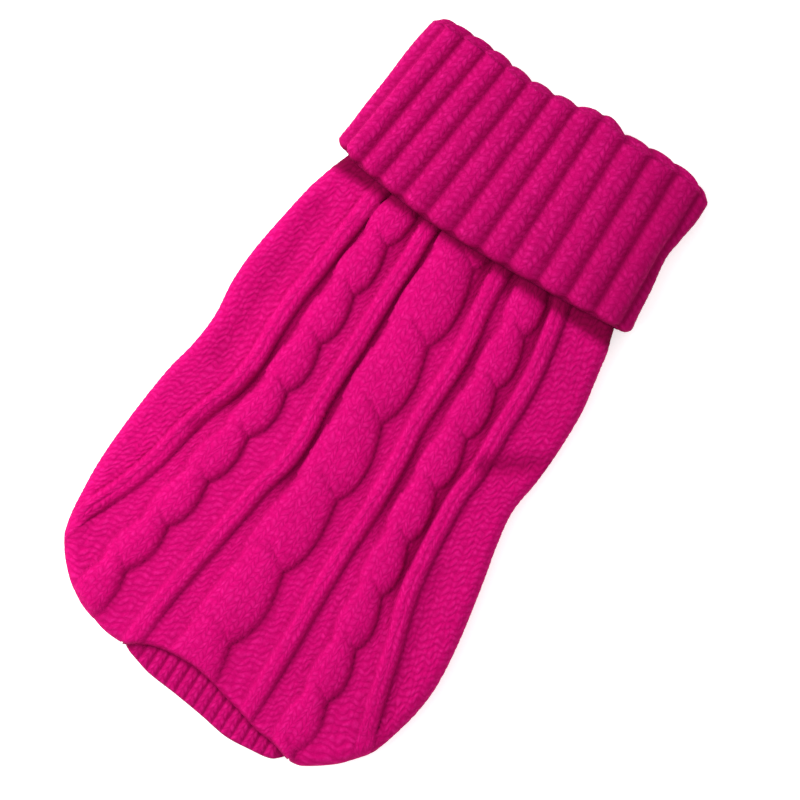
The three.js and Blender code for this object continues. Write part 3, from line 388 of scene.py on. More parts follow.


# How far the knit stands up at a place of the panel laid out flat, and how much painted shade its yarn gets:
# in the valleys, on the side of each ridge away from the light, in the folds and under the collar's cuff.
def backRelief(x, y):
    borders = backBorders(y)
    wale = groundWale(x, borders)
    wale, row = uneven(wale, y / stitchValues["row"])
    loops = purlLoops(wale, row)
    knit = np.zeros_like(x)
    sunk = np.zeros_like(x)
    for k in range(1, len(borders) - 1, 2):
        width = borders[k + 1] - borders[k]
        here = (x > borders[k] - 1) & (x < borders[k + 1] + 1)
        sunk = np.where(here, 1 - smooth(width, 1.5, backValues["shallowFrom"]), sunk)
    beside, shaded = np.full_like(x, 9.0), np.zeros_like(x)
    lines = []
    for k, name in enumerate(lineOrder):
        across = x - (borders[2 * k] + borders[2 * k + 1]) / 2
        if name in cableValues:
            leftEdge, rightEdge, _ = cableEdges(cableValues[name], y)
        else:
            leftEdge = rightEdge = backValues["ribWidth"] / 2 + 0 * y
        out = np.where(across < 0, -across - leftEdge, across - rightEdge)
        lines.append((name, across, out))
        beside = np.minimum(beside, np.abs(out))
        # Painted shadow along the right side of each rib and cable, the side away from the light; wider
        # beside the wide cable.
        leeWidth = 3.0 if name == "cableB" else 2.2
        strength = 0.56 if name in cableValues else 0.36
        shaded = np.where(across > 0, np.maximum(shaded, strength * np.exp(-((out / leeWidth) ** 2))), shaded)
    foot = np.exp(-((beside / 1.0) ** 2))
    height = stitchValues["purlRise"] * (loops - 0.7)
    height = height - backValues["groove"] * foot - backValues["sink"] * sunk
    # Painted shade at the foot of each ridge and in the narrow, sunk gutters.
    valley = np.maximum(np.maximum(0.2 * foot, shaded), 0.6 * sunk)
    for name, across, out in lines:
        if name in cableValues:
            form, deep, at = cableForm(cableValues[name], across, y)
        else:
            off = across / backValues["ribWidth"]
            full = backValues["ribRise"] * np.ones_like(y)
            if name in ("ribA", "ribD"):
                ends = -101 if name == "ribA" else -108
                full = full * smooth(y, ends, ends + 14)
            at = (off + 0.5) * 2
            split = 0.4 * np.exp(-((off / 0.08) ** 2)) / backValues["ribRise"]
            form = full * (read(ribProfile, "height", off, "at") - split)
            # Painted shade on the rib's flanks, darker on its right side, away from the light, and in its
            # middle groove.
            lean = np.where(off > 0, 0.36, 0.12)
            deep = np.clip(lean * (1 - smooth(form, 0, 1.3)) * smooth(full, 0, 1), 0, 1)
            deep = np.maximum(deep, 0.1 * np.exp(-((off / 0.07) ** 2)))
        inside = (out < 0) & (form > -0.2)
        at, _ = uneven(at, y / stitchValues["row"])
        legs = knitLegs(at, row)
        wale = np.where(inside, at, wale)
        knit = np.where(inside, 1.0, knit)
        valley = np.where(inside, deep, valley)
        raised = stitchValues["legRise"] * (legs - 0.6) * smooth(form, 0.1, 0.9)
        height = np.where(inside, form + raised, height)
    fade = (1 - smooth(y, 58, backValues["neckY"])) * (1 - 0.35 * smooth(-y, 102, 124))
    # Painted shade: lighter low on the panel, in the soft folds, and a painted shadow below the collar's
    # cuff, reaching further down the gutters than over the ridges.
    valley = valley * (1 - 0.3 * smooth(-y, 102, 124))
    valley = np.maximum(valley, np.minimum(0.42, 0.14 * foldDepth(x, y)))
    between = (knit == 0) & (x > borders[0]) & (x < borders[-1])
    valley = np.maximum(valley, 0.95 * smooth(y, np.where(between, 51.0, 60.5), 65.5))
    return height * fade, valley, np.stack([wale, row, knit], -1)


def foldDepth(x, y):
    depth = np.zeros_like(x)
    for fromX, fromY, toX, toY, width, deep in softFolds:
        dx, dy = toX - fromX, toY - fromY
        t = np.clip(((x - fromX) * dx + (y - fromY) * dy) / (dx * dx + dy * dy), 0, 1)
        away = np.hypot(x - fromX - t * dx, y - fromY - t * dy)
        depth += deep * np.exp(-((away / width) ** 2))
    return depth


def settle(x, y, z, turn):
    left, right = read(bodySections, "left", y), read(bodySections, "right", y)
    share = (2 * x - left - right) / (right - left)
    along = (1 - smooth(y, 50, backValues["neckY"])) * smooth(y, -112, -96)
    crown = backValues["crown"] * np.clip(1 - share**2, 0, None) * along
    return z + (1 - smooth(turn, 0, np.pi / 2)) * (crown - foldDepth(x, y))


# Columns of points across the panel: (line before, line after, how many).
columnCounts = (26, 10, 6, 20, 6, 10, 6, 30, 6, 10, 6, 20, 6, 10, 26)


def backColumns(ys, low, high, least):
    borders = backBorders(ys)
    places = []
    n = 0
    for zone, count in enumerate(columnCounts):
        for step in range(count):
            before = low if zone == 0 else borders[zone - 1][n]
            after = high if zone == len(borders) else borders[zone][n]
            places.append(mix(before, after, step / count))
            n += 1
    places.append(high)
    places = np.array(places)
    ramp = np.arange(len(places)) * least
    places[0] = low
    places = np.maximum.accumulate(places - ramp) + ramp
    places[-1] = high
    places = (np.minimum.accumulate((places - ramp)[::-1]))[::-1] + ramp
    return places


def evenOut(places, share, reach=9):
    if share <= 0:
        return places
    before = 2 * places[0] - places[reach:0:-1]
    after = 2 * places[-1] - places[-2:-reach - 2:-1]
    padded = np.concatenate([before, places, after])
    kernel = np.hanning(2 * reach + 3)[1:-1]
    return mix(places, np.convolve(padded, kernel / kernel.sum(), "valid"), share)


def backRim(rows):
    columns = sum(columnCounts) + 1
    low, high = lowerEdge["x"][0], lowerEdge["x"][-1]
    ys = np.full(columns, backValues["cornerY"], float)
    for _ in range(5):
        xs = evenOut(backColumns(ys, low, high, 0.2), 1, 14)
        ys = read(lowerEdge, "y", xs, "x")
    leftX, rightX = read(bodySections, "left", rows), read(bodySections, "right", rows)
    x = np.concatenate([leftX, xs, rightX[::-1]])
    y = np.concatenate([rows, ys, rows[::-1]])
    lower = np.concatenate([np.zeros(len(rows), bool), np.ones(columns, bool), np.zeros(len(rows), bool)])
    isLip = lower & (x > backValues["lipLeft"]) & (x < backValues["lipRight"])
    top = read(bodySections, "top", y)
    under = np.where(isLip, top - 2 * backValues["lipRadius"], np.maximum(0, read(bodySections, "under", y)))
    inset = np.where(x < 0, read(sideSeams, "left", y), -read(sideSeams, "right", y))
    lowerX = np.interp(x, lowerSeams["x"], lowerSeams["seamX"])
    lowerY = np.interp(x, lowerSeams["x"], lowerSeams["seamY"])
    seamX = np.where(lower, lowerX, x + inset)
    seamY = np.where(lower, lowerY, y + read(sideSeams, "lift", y))
    seamX, seamY = np.where(isLip, x, seamX), np.where(isLip, y + 1, seamY)
    dx, dy = seamX - x, seamY - y
    length = np.hypot(dx, dy)
    return {
        "x": x, "y": y, "isLip": isLip, "top": top, "under": under, "radius": (top - under) / 2,
        "inX": dx / length, "inY": dy / length, "inset": length, "columns": columns,
    }


def rimPlace(rim, turn, share, depth):
    across = rim["radius"] - (rim["radius"] - depth) * np.sin(turn) + share * (rim["inset"] - rim["radius"])
    z = (rim["top"] + rim["under"]) / 2 + (rim["radius"] - depth) * np.cos(turn)
    return rim["x"] + across * rim["inX"], rim["y"] + across * rim["inY"], z


# Where the points of the panel's top lie: rows across it that bend down to the lower edge near it.
def backTop(rim, rows):
    count = len(rows)
    insideX, insideY, _ = rimPlace(rim, 0, 0, 0)
    columns = rim["columns"]
    lowX, lowY = insideX[count:count + columns], insideY[count:count + columns]
    xs = np.zeros((count + 1, columns))
    ys = np.zeros((count + 1, columns))
    bendFrom = backValues["bendFrom"]
    for j in range(count):
        left = insideX[j], insideY[j]
        right = insideX[-1 - j], insideY[-1 - j]
        bend = max(0, (bendFrom - rows[j]) / (bendFrom - backValues["cornerY"])) ** 1.2
        y = np.full(columns, left[1])
        for _ in range(4):
            x = backColumns(y, left[0], right[0], 0.2)
            x = evenOut(x, float(smooth(-y.mean(), 45, 100)), 14)
            share = (x - left[0]) / (right[0] - left[0])
            sag = np.interp(x, lowX, lowY) - mix(lowY[0], lowY[-1], share)
            y = mix(left[1], right[1], share) + bend * sag
        xs[j], ys[j] = x, y
    xs[count], ys[count] = lowX, lowY
    return xs, ys


def makeBack():
    step = backValues["rowStep"]
    hidden = backValues["hiddenAbove"]
    shown = np.arange(hidden, backValues["cornerY"], -step)
    rows = np.concatenate([np.linspace(backValues["neckY"], hidden + 1, 6), shown[:-1]])
    rim = backRim(rows)
    xs, ys = backTop(rim, rows)
    height, valley, stitch = backRelief(xs, ys)
    z = settle(xs, ys, read(bodySections, "top", ys) + height, np.zeros_like(xs))
    top = {"points": np.stack([xs, ys, z], -1), "valley": valley, "stitch": stitch}
    turns = np.concatenate([np.linspace(0, np.pi, 17), np.full(4, np.pi)])
    shares = np.concatenate([np.zeros(17), np.linspace(0.25, 1, 4)])
    lipTurns = np.linspace(0, math.radians(backValues["lipTurn"]), len(turns))
    path = []
    for k in range(len(turns)):
        turn = np.where(rim["isLip"], lipTurns[k], turns[k])
        share = np.where(rim["isLip"], 0, shares[k])
        inward = rim["radius"] * (1 - turn) - share * (rim["inset"] - rim["radius"])
        relief, valley, stitch = backRelief(rim["x"] + inward * rim["inX"], rim["y"] + inward * rim["inY"])
        # Painted shade where the lip turns under.
        valley = np.where(rim["isLip"], np.maximum(valley, 0.5 * smooth(turn, 0.1, 1.1)), valley)
        fade = np.where(rim["isLip"], 1 - 0.8 * smooth(turn, 0.3, 1.5), 1 - smooth(turn, 1.2, 2.2))
        fade = np.where(rim["y"] < -108, fade * (1 - 0.75 * smooth(turn, 0.0, 1.0)), fade)
        out = relief * fade - 0.25 * (1 - fade) * (~rim["isLip"]) * valley
        out = np.where(shares[k] == 1, np.minimum(out, 0), out)
        x, y, z = rimPlace(rim, turn, share, -out)
        path.append((x, y, settle(x, y, z, turn), valley, stitch))
    points = np.stack([np.stack(p[:3], -1) for p in path], 1)
    points[:, 0] = np.concatenate([top["points"][:-1, 0], top["points"][-1], top["points"][-2::-1, -1]])
    valleys = np.stack([p[3] for p in path], 1)
    rimGrid = {"points": points, "valley": valleys, "stitch": np.stack([p[4] for p in path], 1)}
    innerTop, innerRim = backInside(rim, rows, xs, ys)
    return meshOf("back_knit_panel", [top, rimGrid, innerTop, innerRim], bridges=True)


# The plain inside of the wall, with one in eight of the rows and columns.
def backInside(rim, rows, xs, ys):
    wall = backValues["wall"]
    count, columns = len(rows), rim["columns"]
    everyRow = sorted(set(range(0, count + 1, 8)) | {count})
    everyColumn = sorted(set(range(0, columns, 8)) | {columns - 1})
    x, y = xs[np.ix_(everyRow, everyColumn)], ys[np.ix_(everyRow, everyColumn)]
    z = settle(x, y, read(bodySections, "top", y) - wall, np.zeros_like(x))
    flat = {"points": np.stack([x, y, z], -1), "valley": np.zeros_like(x), "stitch": np.zeros(x.shape + (3,))}
    pick = [j for j in everyRow if j < count] + [count + i for i in everyColumn]
    pick += [2 * count + columns - 1 - j for j in reversed(everyRow) if j < count]
    part = {key: value[pick] for key, value in rim.items() if key != "columns"}
    path = []
    for turn, share in ((0, 0), (60, 0), (120, 0), (180, 0), (180, 1)):
        turn = math.radians(turn)
        px, py, pz = rimPlace(part, turn, share, wall)
        pz = settle(px, py, pz, np.full_like(px, turn))
        lx, ly, lz = rimPlace(part, 0, 0, wall)
        out = backValues["lipRadius"] * 0.97 * (turn / np.pi + share) / 2
        lx, ly = lx - out * part["inX"], ly - out * part["inY"]
        lz = settle(lx, ly, lz, np.zeros_like(lx))
        lip = part["isLip"]
        path.append(np.stack([np.where(lip, lx, px), np.where(lip, ly, py), np.where(lip, lz, pz)], -1))
    points = np.stack(path, 1)
    points[:, 0] = np.concatenate([flat["points"][:-1, 0], flat["points"][-1], flat["points"][-2::-1, -1]])
    shape = points.shape[:2]
    return flat, {"points": points, "valley": np.zeros(shape), "stitch": np.zeros(shape + (3,))}


backPiece = makeBack()
print("back panel made")


def sectionAt(sections, y):
    section = {name: read(sections, name, y) for name in ("left", "right", "top")}
    section["under"] = np.maximum(0, read(sections, "under", y))
    section["radius"] = (section["top"] - section["under"]) / 2
    return section


# A place on a flattened tube: s is x on its top and goes on round each edge and back underneath.
def onSection(section, s, depth):
    left, right, radius = section["left"], section["right"], section["radius"]
    middle = (section["top"] + section["under"]) / 2
    side = np.where(s < (left + right) / 2, -1.0, 1.0)
    arcStart = np.where(side < 0, left + radius, right - radius)
    past = side * (s - arcStart)
    turn = np.clip(past / radius, 0, np.pi)
    inner = radius - depth
    x = np.where(past <= 0, s, arcStart + side * inner * np.sin(turn))
    z = middle + inner * np.cos(turn)
    under = past > np.pi * radius
    x = np.where(under, arcStart - side * (past - np.pi * radius), x)
    return x, z


# Round a ribbed tube: over its top from one end to the other, then back along its underside.
def tubeColumns(topRibs, perTop, underRibs, perUnder, arcSteps=6):
    part, place = [], []
    for i in range(topRibs * perTop + 1):
        part.append(0)
        place.append(i / perTop)
    for i in range(1, arcSteps):
        part.append(1)
        place.append(i / arcSteps)
    for i in range(underRibs * perUnder + 1):
        part.append(2)
        place.append(i / perUnder)
    for i in range(1, arcSteps):
        part.append(3)
        place.append(i / arcSteps)
    part.append(0)
    place.append(0)
    return np.array(part), np.array(place, float)


def tubePlaces(section, part, place, topRibs, underRibs, fromS, toS, topS, depth):
    radius = section["radius"]
    start, end = section["left"] + radius, section["right"] - radius
    arc = np.pi * radius
    s = np.where(part == 0, topS, 0.0)
    s = np.where(part == 1, mix(toS, end + arc, place), s)
    s = np.where(part == 3, mix(start - arc, fromS, place), s)
    x, z = onSection(section, s, depth)
    underX = mix(end, start, place / underRibs)
    x = np.where(part == 2, underX, x)
    z = np.where(part == 2, section["under"] + depth, z)
    return x, z


# The collar: a tube of 2x2 rib, folded down over itself.
collarValues = {
    "rise": 2.0, "crest": 0.8, "lean": 0.14, "stitchRise": 0.22, "shade": 0.26, "scallop": 1.5, "wall": 3.0,
    "foldRoom": 4.2, "lowY": 75, "highY": 125, "neckY": 77.8,
    "perRib": 14, "underRibs": 12, "perUnder": 9, "rowStep": 0.55,
}


def ribForm(place, row, values, knitWales, groove):
    part = place - np.floor(place)
    off = (part - 0.5) * 2 / values["crest"]
    leaning = off + values["lean"] * np.clip(1 - off**2, 0, 1)
    base = np.clip(1 - np.abs(leaning) ** 2.6, 0, 1) ** 0.75
    at, row = uneven((part - 0.5) * knitWales, row)
    legs = knitLegs(at, row)
    raised = smooth(base, 0.05, 0.5)
    form = values["rise"] * base + raised * values["stitchRise"] * (legs - 0.6)
    form = form - groove * np.exp(-((part - np.round(part)) / 0.05) ** 2)
    # Painted shade in the valleys between the ribs.
    valley = np.clip(values["shade"] * (1 - smooth(base, 0, 0.7)), 0, 1)
    return form, valley, at


def makeCollar():
    values = collarValues
    ribs = len(collarValleys) - 1
    part, place = tubeColumns(ribs, values["perRib"], values["underRibs"], values["perUnder"])
    half = values["wall"] / 2

    def valleyPlace(count, y):
        share = (y - values["lowY"]) / (values["highY"] - values["lowY"])
        k = np.arange(len(collarValleys))
        low = np.interp(count, k, collarValleys[:, 0])
        high = np.interp(count, k, collarValleys[:, 1])
        return mix(low, high, share)

    def cuffPlace(y, depth):
        section = sectionAt(cuffSections, y)
        topS = valleyPlace(place, y)
        first, last = valleyPlace(0 * place, y), valleyPlace(0 * place + ribs, y)
        return tubePlaces(section, part, place, ribs, values["underRibs"], first, last, topS, depth)

    def neckPlace(y, depth):
        section = sectionAt(neckTubeSections, y)
        reach = 0.5 * section["radius"]
        first, last = section["left"] - reach, section["right"] + reach
        a, b = valleyPlace(0 * place, 100), valleyPlace(0 * place + ribs, 100)
        topS = mix(first, last, (valleyPlace(place, 100) - a) / (b - a))
        return tubePlaces(section, part, place, ribs, values["underRibs"], first, last, topS, depth)

    cuffX, _ = cuffPlace(np.full(len(part), 125.0), 0)
    foldY = read(collarFold, "top", cuffX, "x") - values["foldRoom"]
    edgeX, _ = cuffPlace(np.full(len(part), 70.0), 0)
    looseY = np.where(part == 0, read(cuffEdge, "y", edgeX, "x"), 71.0)
    ribPlace = np.where((part == 0) | (part == 2), place, 0.0)
    valleyTouch = np.where(part == 0, np.exp(-(((ribPlace - np.round(ribPlace)) / 0.2) ** 2)), 0)
    rings, valleys, stitches = [], [], []

    def ring(x, y, z, valley, wale, row):
        rings.append(np.stack([x, y, z], -1))
        valleys.append(valley)
        stitches.append(np.stack([wale, row, 0 * row + 1], -1))

    def relief(row):
        form, valley, at = ribForm(ribPlace, row, values, 2, 0.4)
        form = np.where(part == 2, form - values["rise"] - 0.25, form)
        form = np.where((part == 1) | (part == 3), -0.3, form)
        return form, valley, at + 4 * np.floor(ribPlace)

    steps = int((132 - 68) / values["rowStep"])
    shares = np.concatenate([[0], np.linspace(0.008, 1, steps)])
    for share in shares:
        y = mix(looseY, foldY, share)
        y = y + values["scallop"] * valleyTouch * (1 - smooth(share, 0, 0.06))
        row = y / stitchValues["row"]
        form, valley, wale = relief(row)
        edge = math.sqrt(share / 0.045) if share < 0.045 else 1
        form = form * edge - (1 - edge) * half
        x, z = cuffPlace(y, -form)
        # Painted shade: in the valleys, darker towards the collar's right end as it lies more in shade, and
        # where the loose edge rounds under.
        ring(x, y, z, np.maximum(valley + 0.25 * smooth(x, 15, 58), 0.8 * (1 - edge)), wale, row)
    # Over the fold, and a little down the inside of the neck.
    for angle in np.radians(np.linspace(8, 172, 14)):
        cx, cz = cuffPlace(foldY, half)
        nx, nz = neckPlace(foldY, half)
        reach = np.hypot(cx - nx, cz - nz) / 2
        row = foldY / stitchValues["row"] + 2.2 * angle
        form, valley, wale = relief(row)
        bump = np.where(part == 2, np.minimum(form, 0), 0.45 * np.maximum(form, -0.5))
        bump = mix(bump, 0, smooth(angle, 1.6, 3.1))
        bump = np.where(part == 2, bump, mix(form, bump, smooth(angle, 0, 0.5)))
        radius = reach + half + bump
        share = radius / reach * math.cos(angle)
        x = (cx + nx) / 2 + share * (cx - nx) / 2
        z = (cz + nz) / 2 + share * (cz - nz) / 2
        roll = values["foldRoom"] - 1 + bump
        ring(x, foldY + roll * math.sin(angle), z, valley, wale, row)
    for share in (0, 0.05, 0.1, 0.15, 0.2, 0.3, 0.45, 0.7, 1):
        y = mix(foldY, values["neckY"], share)
        x, z = neckPlace(y, values["wall"])
        row = y / stitchValues["row"]
        form, valley, wale = relief(row)
        ring(x, y, z, 0.6 * valley, wale, row)
    for share in (0, 0.5, 1):
        y = mix(np.full(len(part), values["neckY"]), foldY, share)
        x, z = neckPlace(y, 0)
        ring(x, y, z, 0 * y, 0 * y, y)
    cx, cz = cuffPlace(foldY, half)
    nx, nz = neckPlace(foldY, half)
    ring((cx + nx) / 2, foldY + values["foldRoom"] - 1 - 2 * half, (cz + nz) / 2, 0 * foldY, 0 * foldY, foldY)
    for share in (0, 0.25, 0.5, 0.75, 0.95, 1):
        y = mix(foldY, looseY, share)
        x, z = cuffPlace(y, values["wall"])
        # Painted shade on the inside of the cuff.
        ring(x, y, z, 0 * y + 0.3, 0 * y, y)
    rings.append(rings[0])
    valleys.append(valleys[0])
    stitches.append(stitches[0])
    grid = {"points": np.array(rings), "valley": np.array(valleys), "stitch": np.array(stitches)}
    return meshOf("collar_rib_tube", [grid])


collarPiece = makeCollar()
print("collar made")


# The hem band: a short tube of 1x1 rib, mostly under the back's lower edge.
hemValues = {
    "rise": 0.75, "crest": 0.9, "lean": 0.1, "stitchRise": 0.2, "shade": 0.12, "wall": 2.4,
    "topStart": -113.5, "underStart": -118.3, "ribs": 15, "perRib": 9, "underRibs": 15, "perUnder": 7,
}


def makeHem():
    values = hemValues
    ribs = values["ribs"]
    part, place = tubeColumns(ribs, values["perRib"], values["underRibs"], values["perUnder"])

    def hemPlace(y, depth):
        section = sectionAt(hemSections, y)
        start, end = section["left"] + section["radius"], section["right"] - section["radius"]
        topS = mix(start, end, place / ribs)
        return tubePlaces(section, part, place, ribs, values["underRibs"], start, end, topS, depth)

    atX, _ = hemPlace(np.full(len(part), -120.0), 0)
    start = np.where(part == 0, values["topStart"], values["underStart"])
    end = np.maximum(read(hemEdge, "y", atX, "x"), np.where(part == 2, -131.0, -140.0))
    ribPlace = np.where((part == 0) | (part == 2), place, 0.0)
    rings, valleys, stitches = [], [], []
    shares = np.concatenate([[1], np.linspace(0.985, 0.3, 32), [0.15, 0]])
    for share in shares:
        y = mix(start, end, share)
        row = y / stitchValues["row"]
        form, valley, at = ribForm(ribPlace, row, values, 1, 0.2)
        form = np.where(part == 2, form - values["rise"] - 0.25, form)
        form = np.where((part == 1) | (part == 3), -0.2, form)
        edge = math.sqrt(max(0.0, min(1, (1 - share) / 0.07)))
        form = form * edge - (1 - edge) * values["wall"] / 2
        x, z = hemPlace(y, -form)
        rings.append(np.stack([x, y, z], -1))
        # Painted shadow below the back's lower edge, and painted shade where the band's edge rounds under.
        paintedShadeUnderBack = 0.6 * smooth(y - read(lowerEdge, "y", atX, "x"), -2.6, 0.4)
        valleys.append(np.maximum(np.maximum(valley, paintedShadeUnderBack), 0.5 * (1 - edge)))
        stitches.append(np.stack([at + 3 * np.floor(ribPlace), row, 0 * row + 1], -1))
    for share in (0, 0.5, 0.96, 1):
        y = mix(start, end, share)
        x, z = hemPlace(y, values["wall"])
        rings.append(np.stack([x, y, z], -1))
        # Painted shade on the inside of the band.
        valleys.append(0 * y + 0.3)
        stitches.append(np.stack([0 * y, y, 0 * y], -1))
    rings.append(rings[0])
    valleys.append(valleys[0])
    stitches.append(stitches[0])
    grid = {"points": np.array(rings), "valley": np.array(valleys), "stitch": np.array(stitches)}
    return meshOf("hem_rib_band", [grid])


hemPiece = makeHem()
print("hem band made")


# The belly panel: plain knit between the two side seams, with a cut for each front leg.
bellyValues = {"wall": 3.0, "end": -118.0, "gap": 0.3, "across": 110, "rows": 180}
legValues = {"fromMiddle": 36, "middleX": -3, "y": 20, "halfWidth": 17, "halfLength": 24, "band": 6.2}


def makeBelly():
    values = bellyValues
    rows = np.linspace(backValues["neckY"], backValues["cornerY"], 120)
    rim = backRim(rows)
    reach = rim["inset"] + values["gap"]
    seamX, seamY = rim["x"] + reach * rim["inX"], rim["y"] + reach * rim["inY"]
    leftHalf = np.arange(len(seamX)) < len(seamX) / 2
    borders = []
    for pick in (leftHalf & ~rim["isLip"], ~leftHalf & ~rim["isLip"]):
        order = np.argsort(seamY[pick])
        borders.append((seamY[pick][order], seamX[pick][order]))
    ys = np.linspace(backValues["neckY"], values["end"], values["rows"] + 1)
    left = np.interp(ys, *borders[0])
    right = np.interp(ys, *borders[1])
    share = np.linspace(0, 1, values["across"] + 1)
    x = mix(left[:, None], right[:, None], share[None, :])
    y = np.repeat(ys[:, None], values["across"] + 1, 1)
    lift = np.maximum(0, read(bodySections, "under", y))
    wale, row = x / stitchValues["wale"], y / stitchValues["row"]
    legs = knitLegs(wale, row)
    z = lift + 0.45 * (1 - legs)
    stitch = np.stack([wale, row, 0 * row + 1], -1)
    mesh = bpy.data.meshes.new("belly_plain_knit")
    bm = bmesh.new()
    bmesh.ops.create_grid(bm, x_segments=values["across"], y_segments=values["rows"], size=1)
    bm.to_mesh(mesh)
    points = np.stack([x, y, z], -1).reshape(-1, 3)
    mesh.vertices.foreach_set("co", ((points + shift) * mm).astype(np.float32).ravel())
    giveAttribute(mesh, "valley", "FLOAT", "value", np.zeros_like(legs))
    giveAttribute(mesh, "stitch", "FLOAT_VECTOR", "vector", stitch)
    bm.free()
    bm = bmesh.new()
    bm.from_mesh(mesh)
    for side in (-1, 1):
        middle = np.array([legValues["middleX"] + side * legValues["fromMiddle"], legValues["y"]]) + shift[:2]
        size = np.array([legValues["halfWidth"], legValues["halfLength"]])

        def out(vert):
            return math.hypot(*((np.array(vert.co[:2]) / mm - middle) / size))

        inside = {vert for vert in bm.verts if out(vert) < 1}
        gone = [face for face in bm.faces if all(vert in inside for vert in face.verts)]
        bmesh.ops.delete(bm, geom=gone, context="FACES")
        for vert in [v for v in inside if v.is_valid and v.link_faces]:
            far = out(vert)
            vert.co[0] = (middle[0] + (vert.co[0] / mm - middle[0]) / far) * mm
            vert.co[1] = (middle[1] + (vert.co[1] / mm - middle[1]) / far) * mm
    bmesh.ops.recalc_face_normals(bm, faces=bm.faces)
    if sum(face.normal.z for face in bm.faces) > 0:
        bmesh.ops.reverse_faces(bm, faces=bm.faces)
    bmesh.ops.triangulate(bm, faces=[face for face in bm.faces if len(face.verts) > 4])
    bm.to_mesh(mesh)
    bm.free()
    mesh.shade_smooth()
    piece = bpy.data.objects.new("belly_plain_knit", mesh)
    bpy.context.scene.collection.objects.link(piece)
    wall = piece.modifiers.new("wall", "SOLIDIFY")
    wall.thickness = values["wall"] * mm
    wall.offset = -1
    print(f"belly_plain_knit: {len(mesh.vertices)} points before its wall")
    return piece


bellyPiece = makeBelly()
print("belly panel made")


# The leg bands: a flat ring of 1x1 rib sewn inside each leg cut.
def makeLegBand(name, side):
    around, gap, wall = 288, bellyValues["gap"], bellyValues["wall"]
    ribs = 36
    # The counts start again in one hair-thin column, which closes the ring.
    turn = np.append(np.linspace(0, 2 * np.pi - 0.0006, around + 1), 0)
    count = np.append(np.linspace(0, ribs, around + 1), 0)
    ring = np.cos(2 * np.pi * count) * 0.5 + 0.5
    band = legValues["band"]
    middleX = legValues["middleX"] + side * legValues["fromMiddle"]
    across = np.concatenate([
        [gap, gap, gap], [gap + 0.15, gap + 0.5], np.linspace(gap + 1, band - 1.2, 9),
        [band - 0.55, band - 0.15, band, band - 0.15, band - 0.55], [band - 1.2, gap + 0.8, gap + 0.2],
    ])
    heights = np.concatenate([
        [2.2, 1.5, 0.9], [0.5, 0.15], np.zeros(9), [0.15, 0.6, 1.5, 2.4, 2.85], [wall, wall, wall - 0.3],
    ])
    under = np.concatenate([[0, 0, 0.2], [0.6, 0.9], np.ones(9), [0.9, 0.5, 0.2, 0, 0], [0, 0, 0]])
    rings, valleys, stitches = [], [], []
    for a, h, u in zip(across, heights, under):
        row = a / 1.2
        legs = knitLegs(count, row + 0 * count)
        lift = u * (0.75 * (1 - ring) + 0.2 * (1 - legs))
        x = middleX + (legValues["halfWidth"] - a) * np.cos(turn)
        y = legValues["y"] + (legValues["halfLength"] - a) * np.sin(turn)
        rings.append(np.stack([x, y, h + lift], -1))
        # Painted shade in the valleys between the ribs.
        valleys.append(np.clip((1 - ring) * 0.7, 0, 1))
        stitches.append(np.stack([count, row + 0 * count, 0 * count + 1], -1))
    rings.append(rings[0])
    valleys.append(valleys[0])
    stitches.append(stitches[0])
    grid = {"points": np.array(rings), "valley": np.array(valleys), "stitch": np.array(stitches)}
    return meshOf(name, [grid])


legPieceLeft = makeLegBand("leg_rib_left", -1)
legPieceRight = makeLegBand("leg_rib_right", 1)
print("leg bands made")
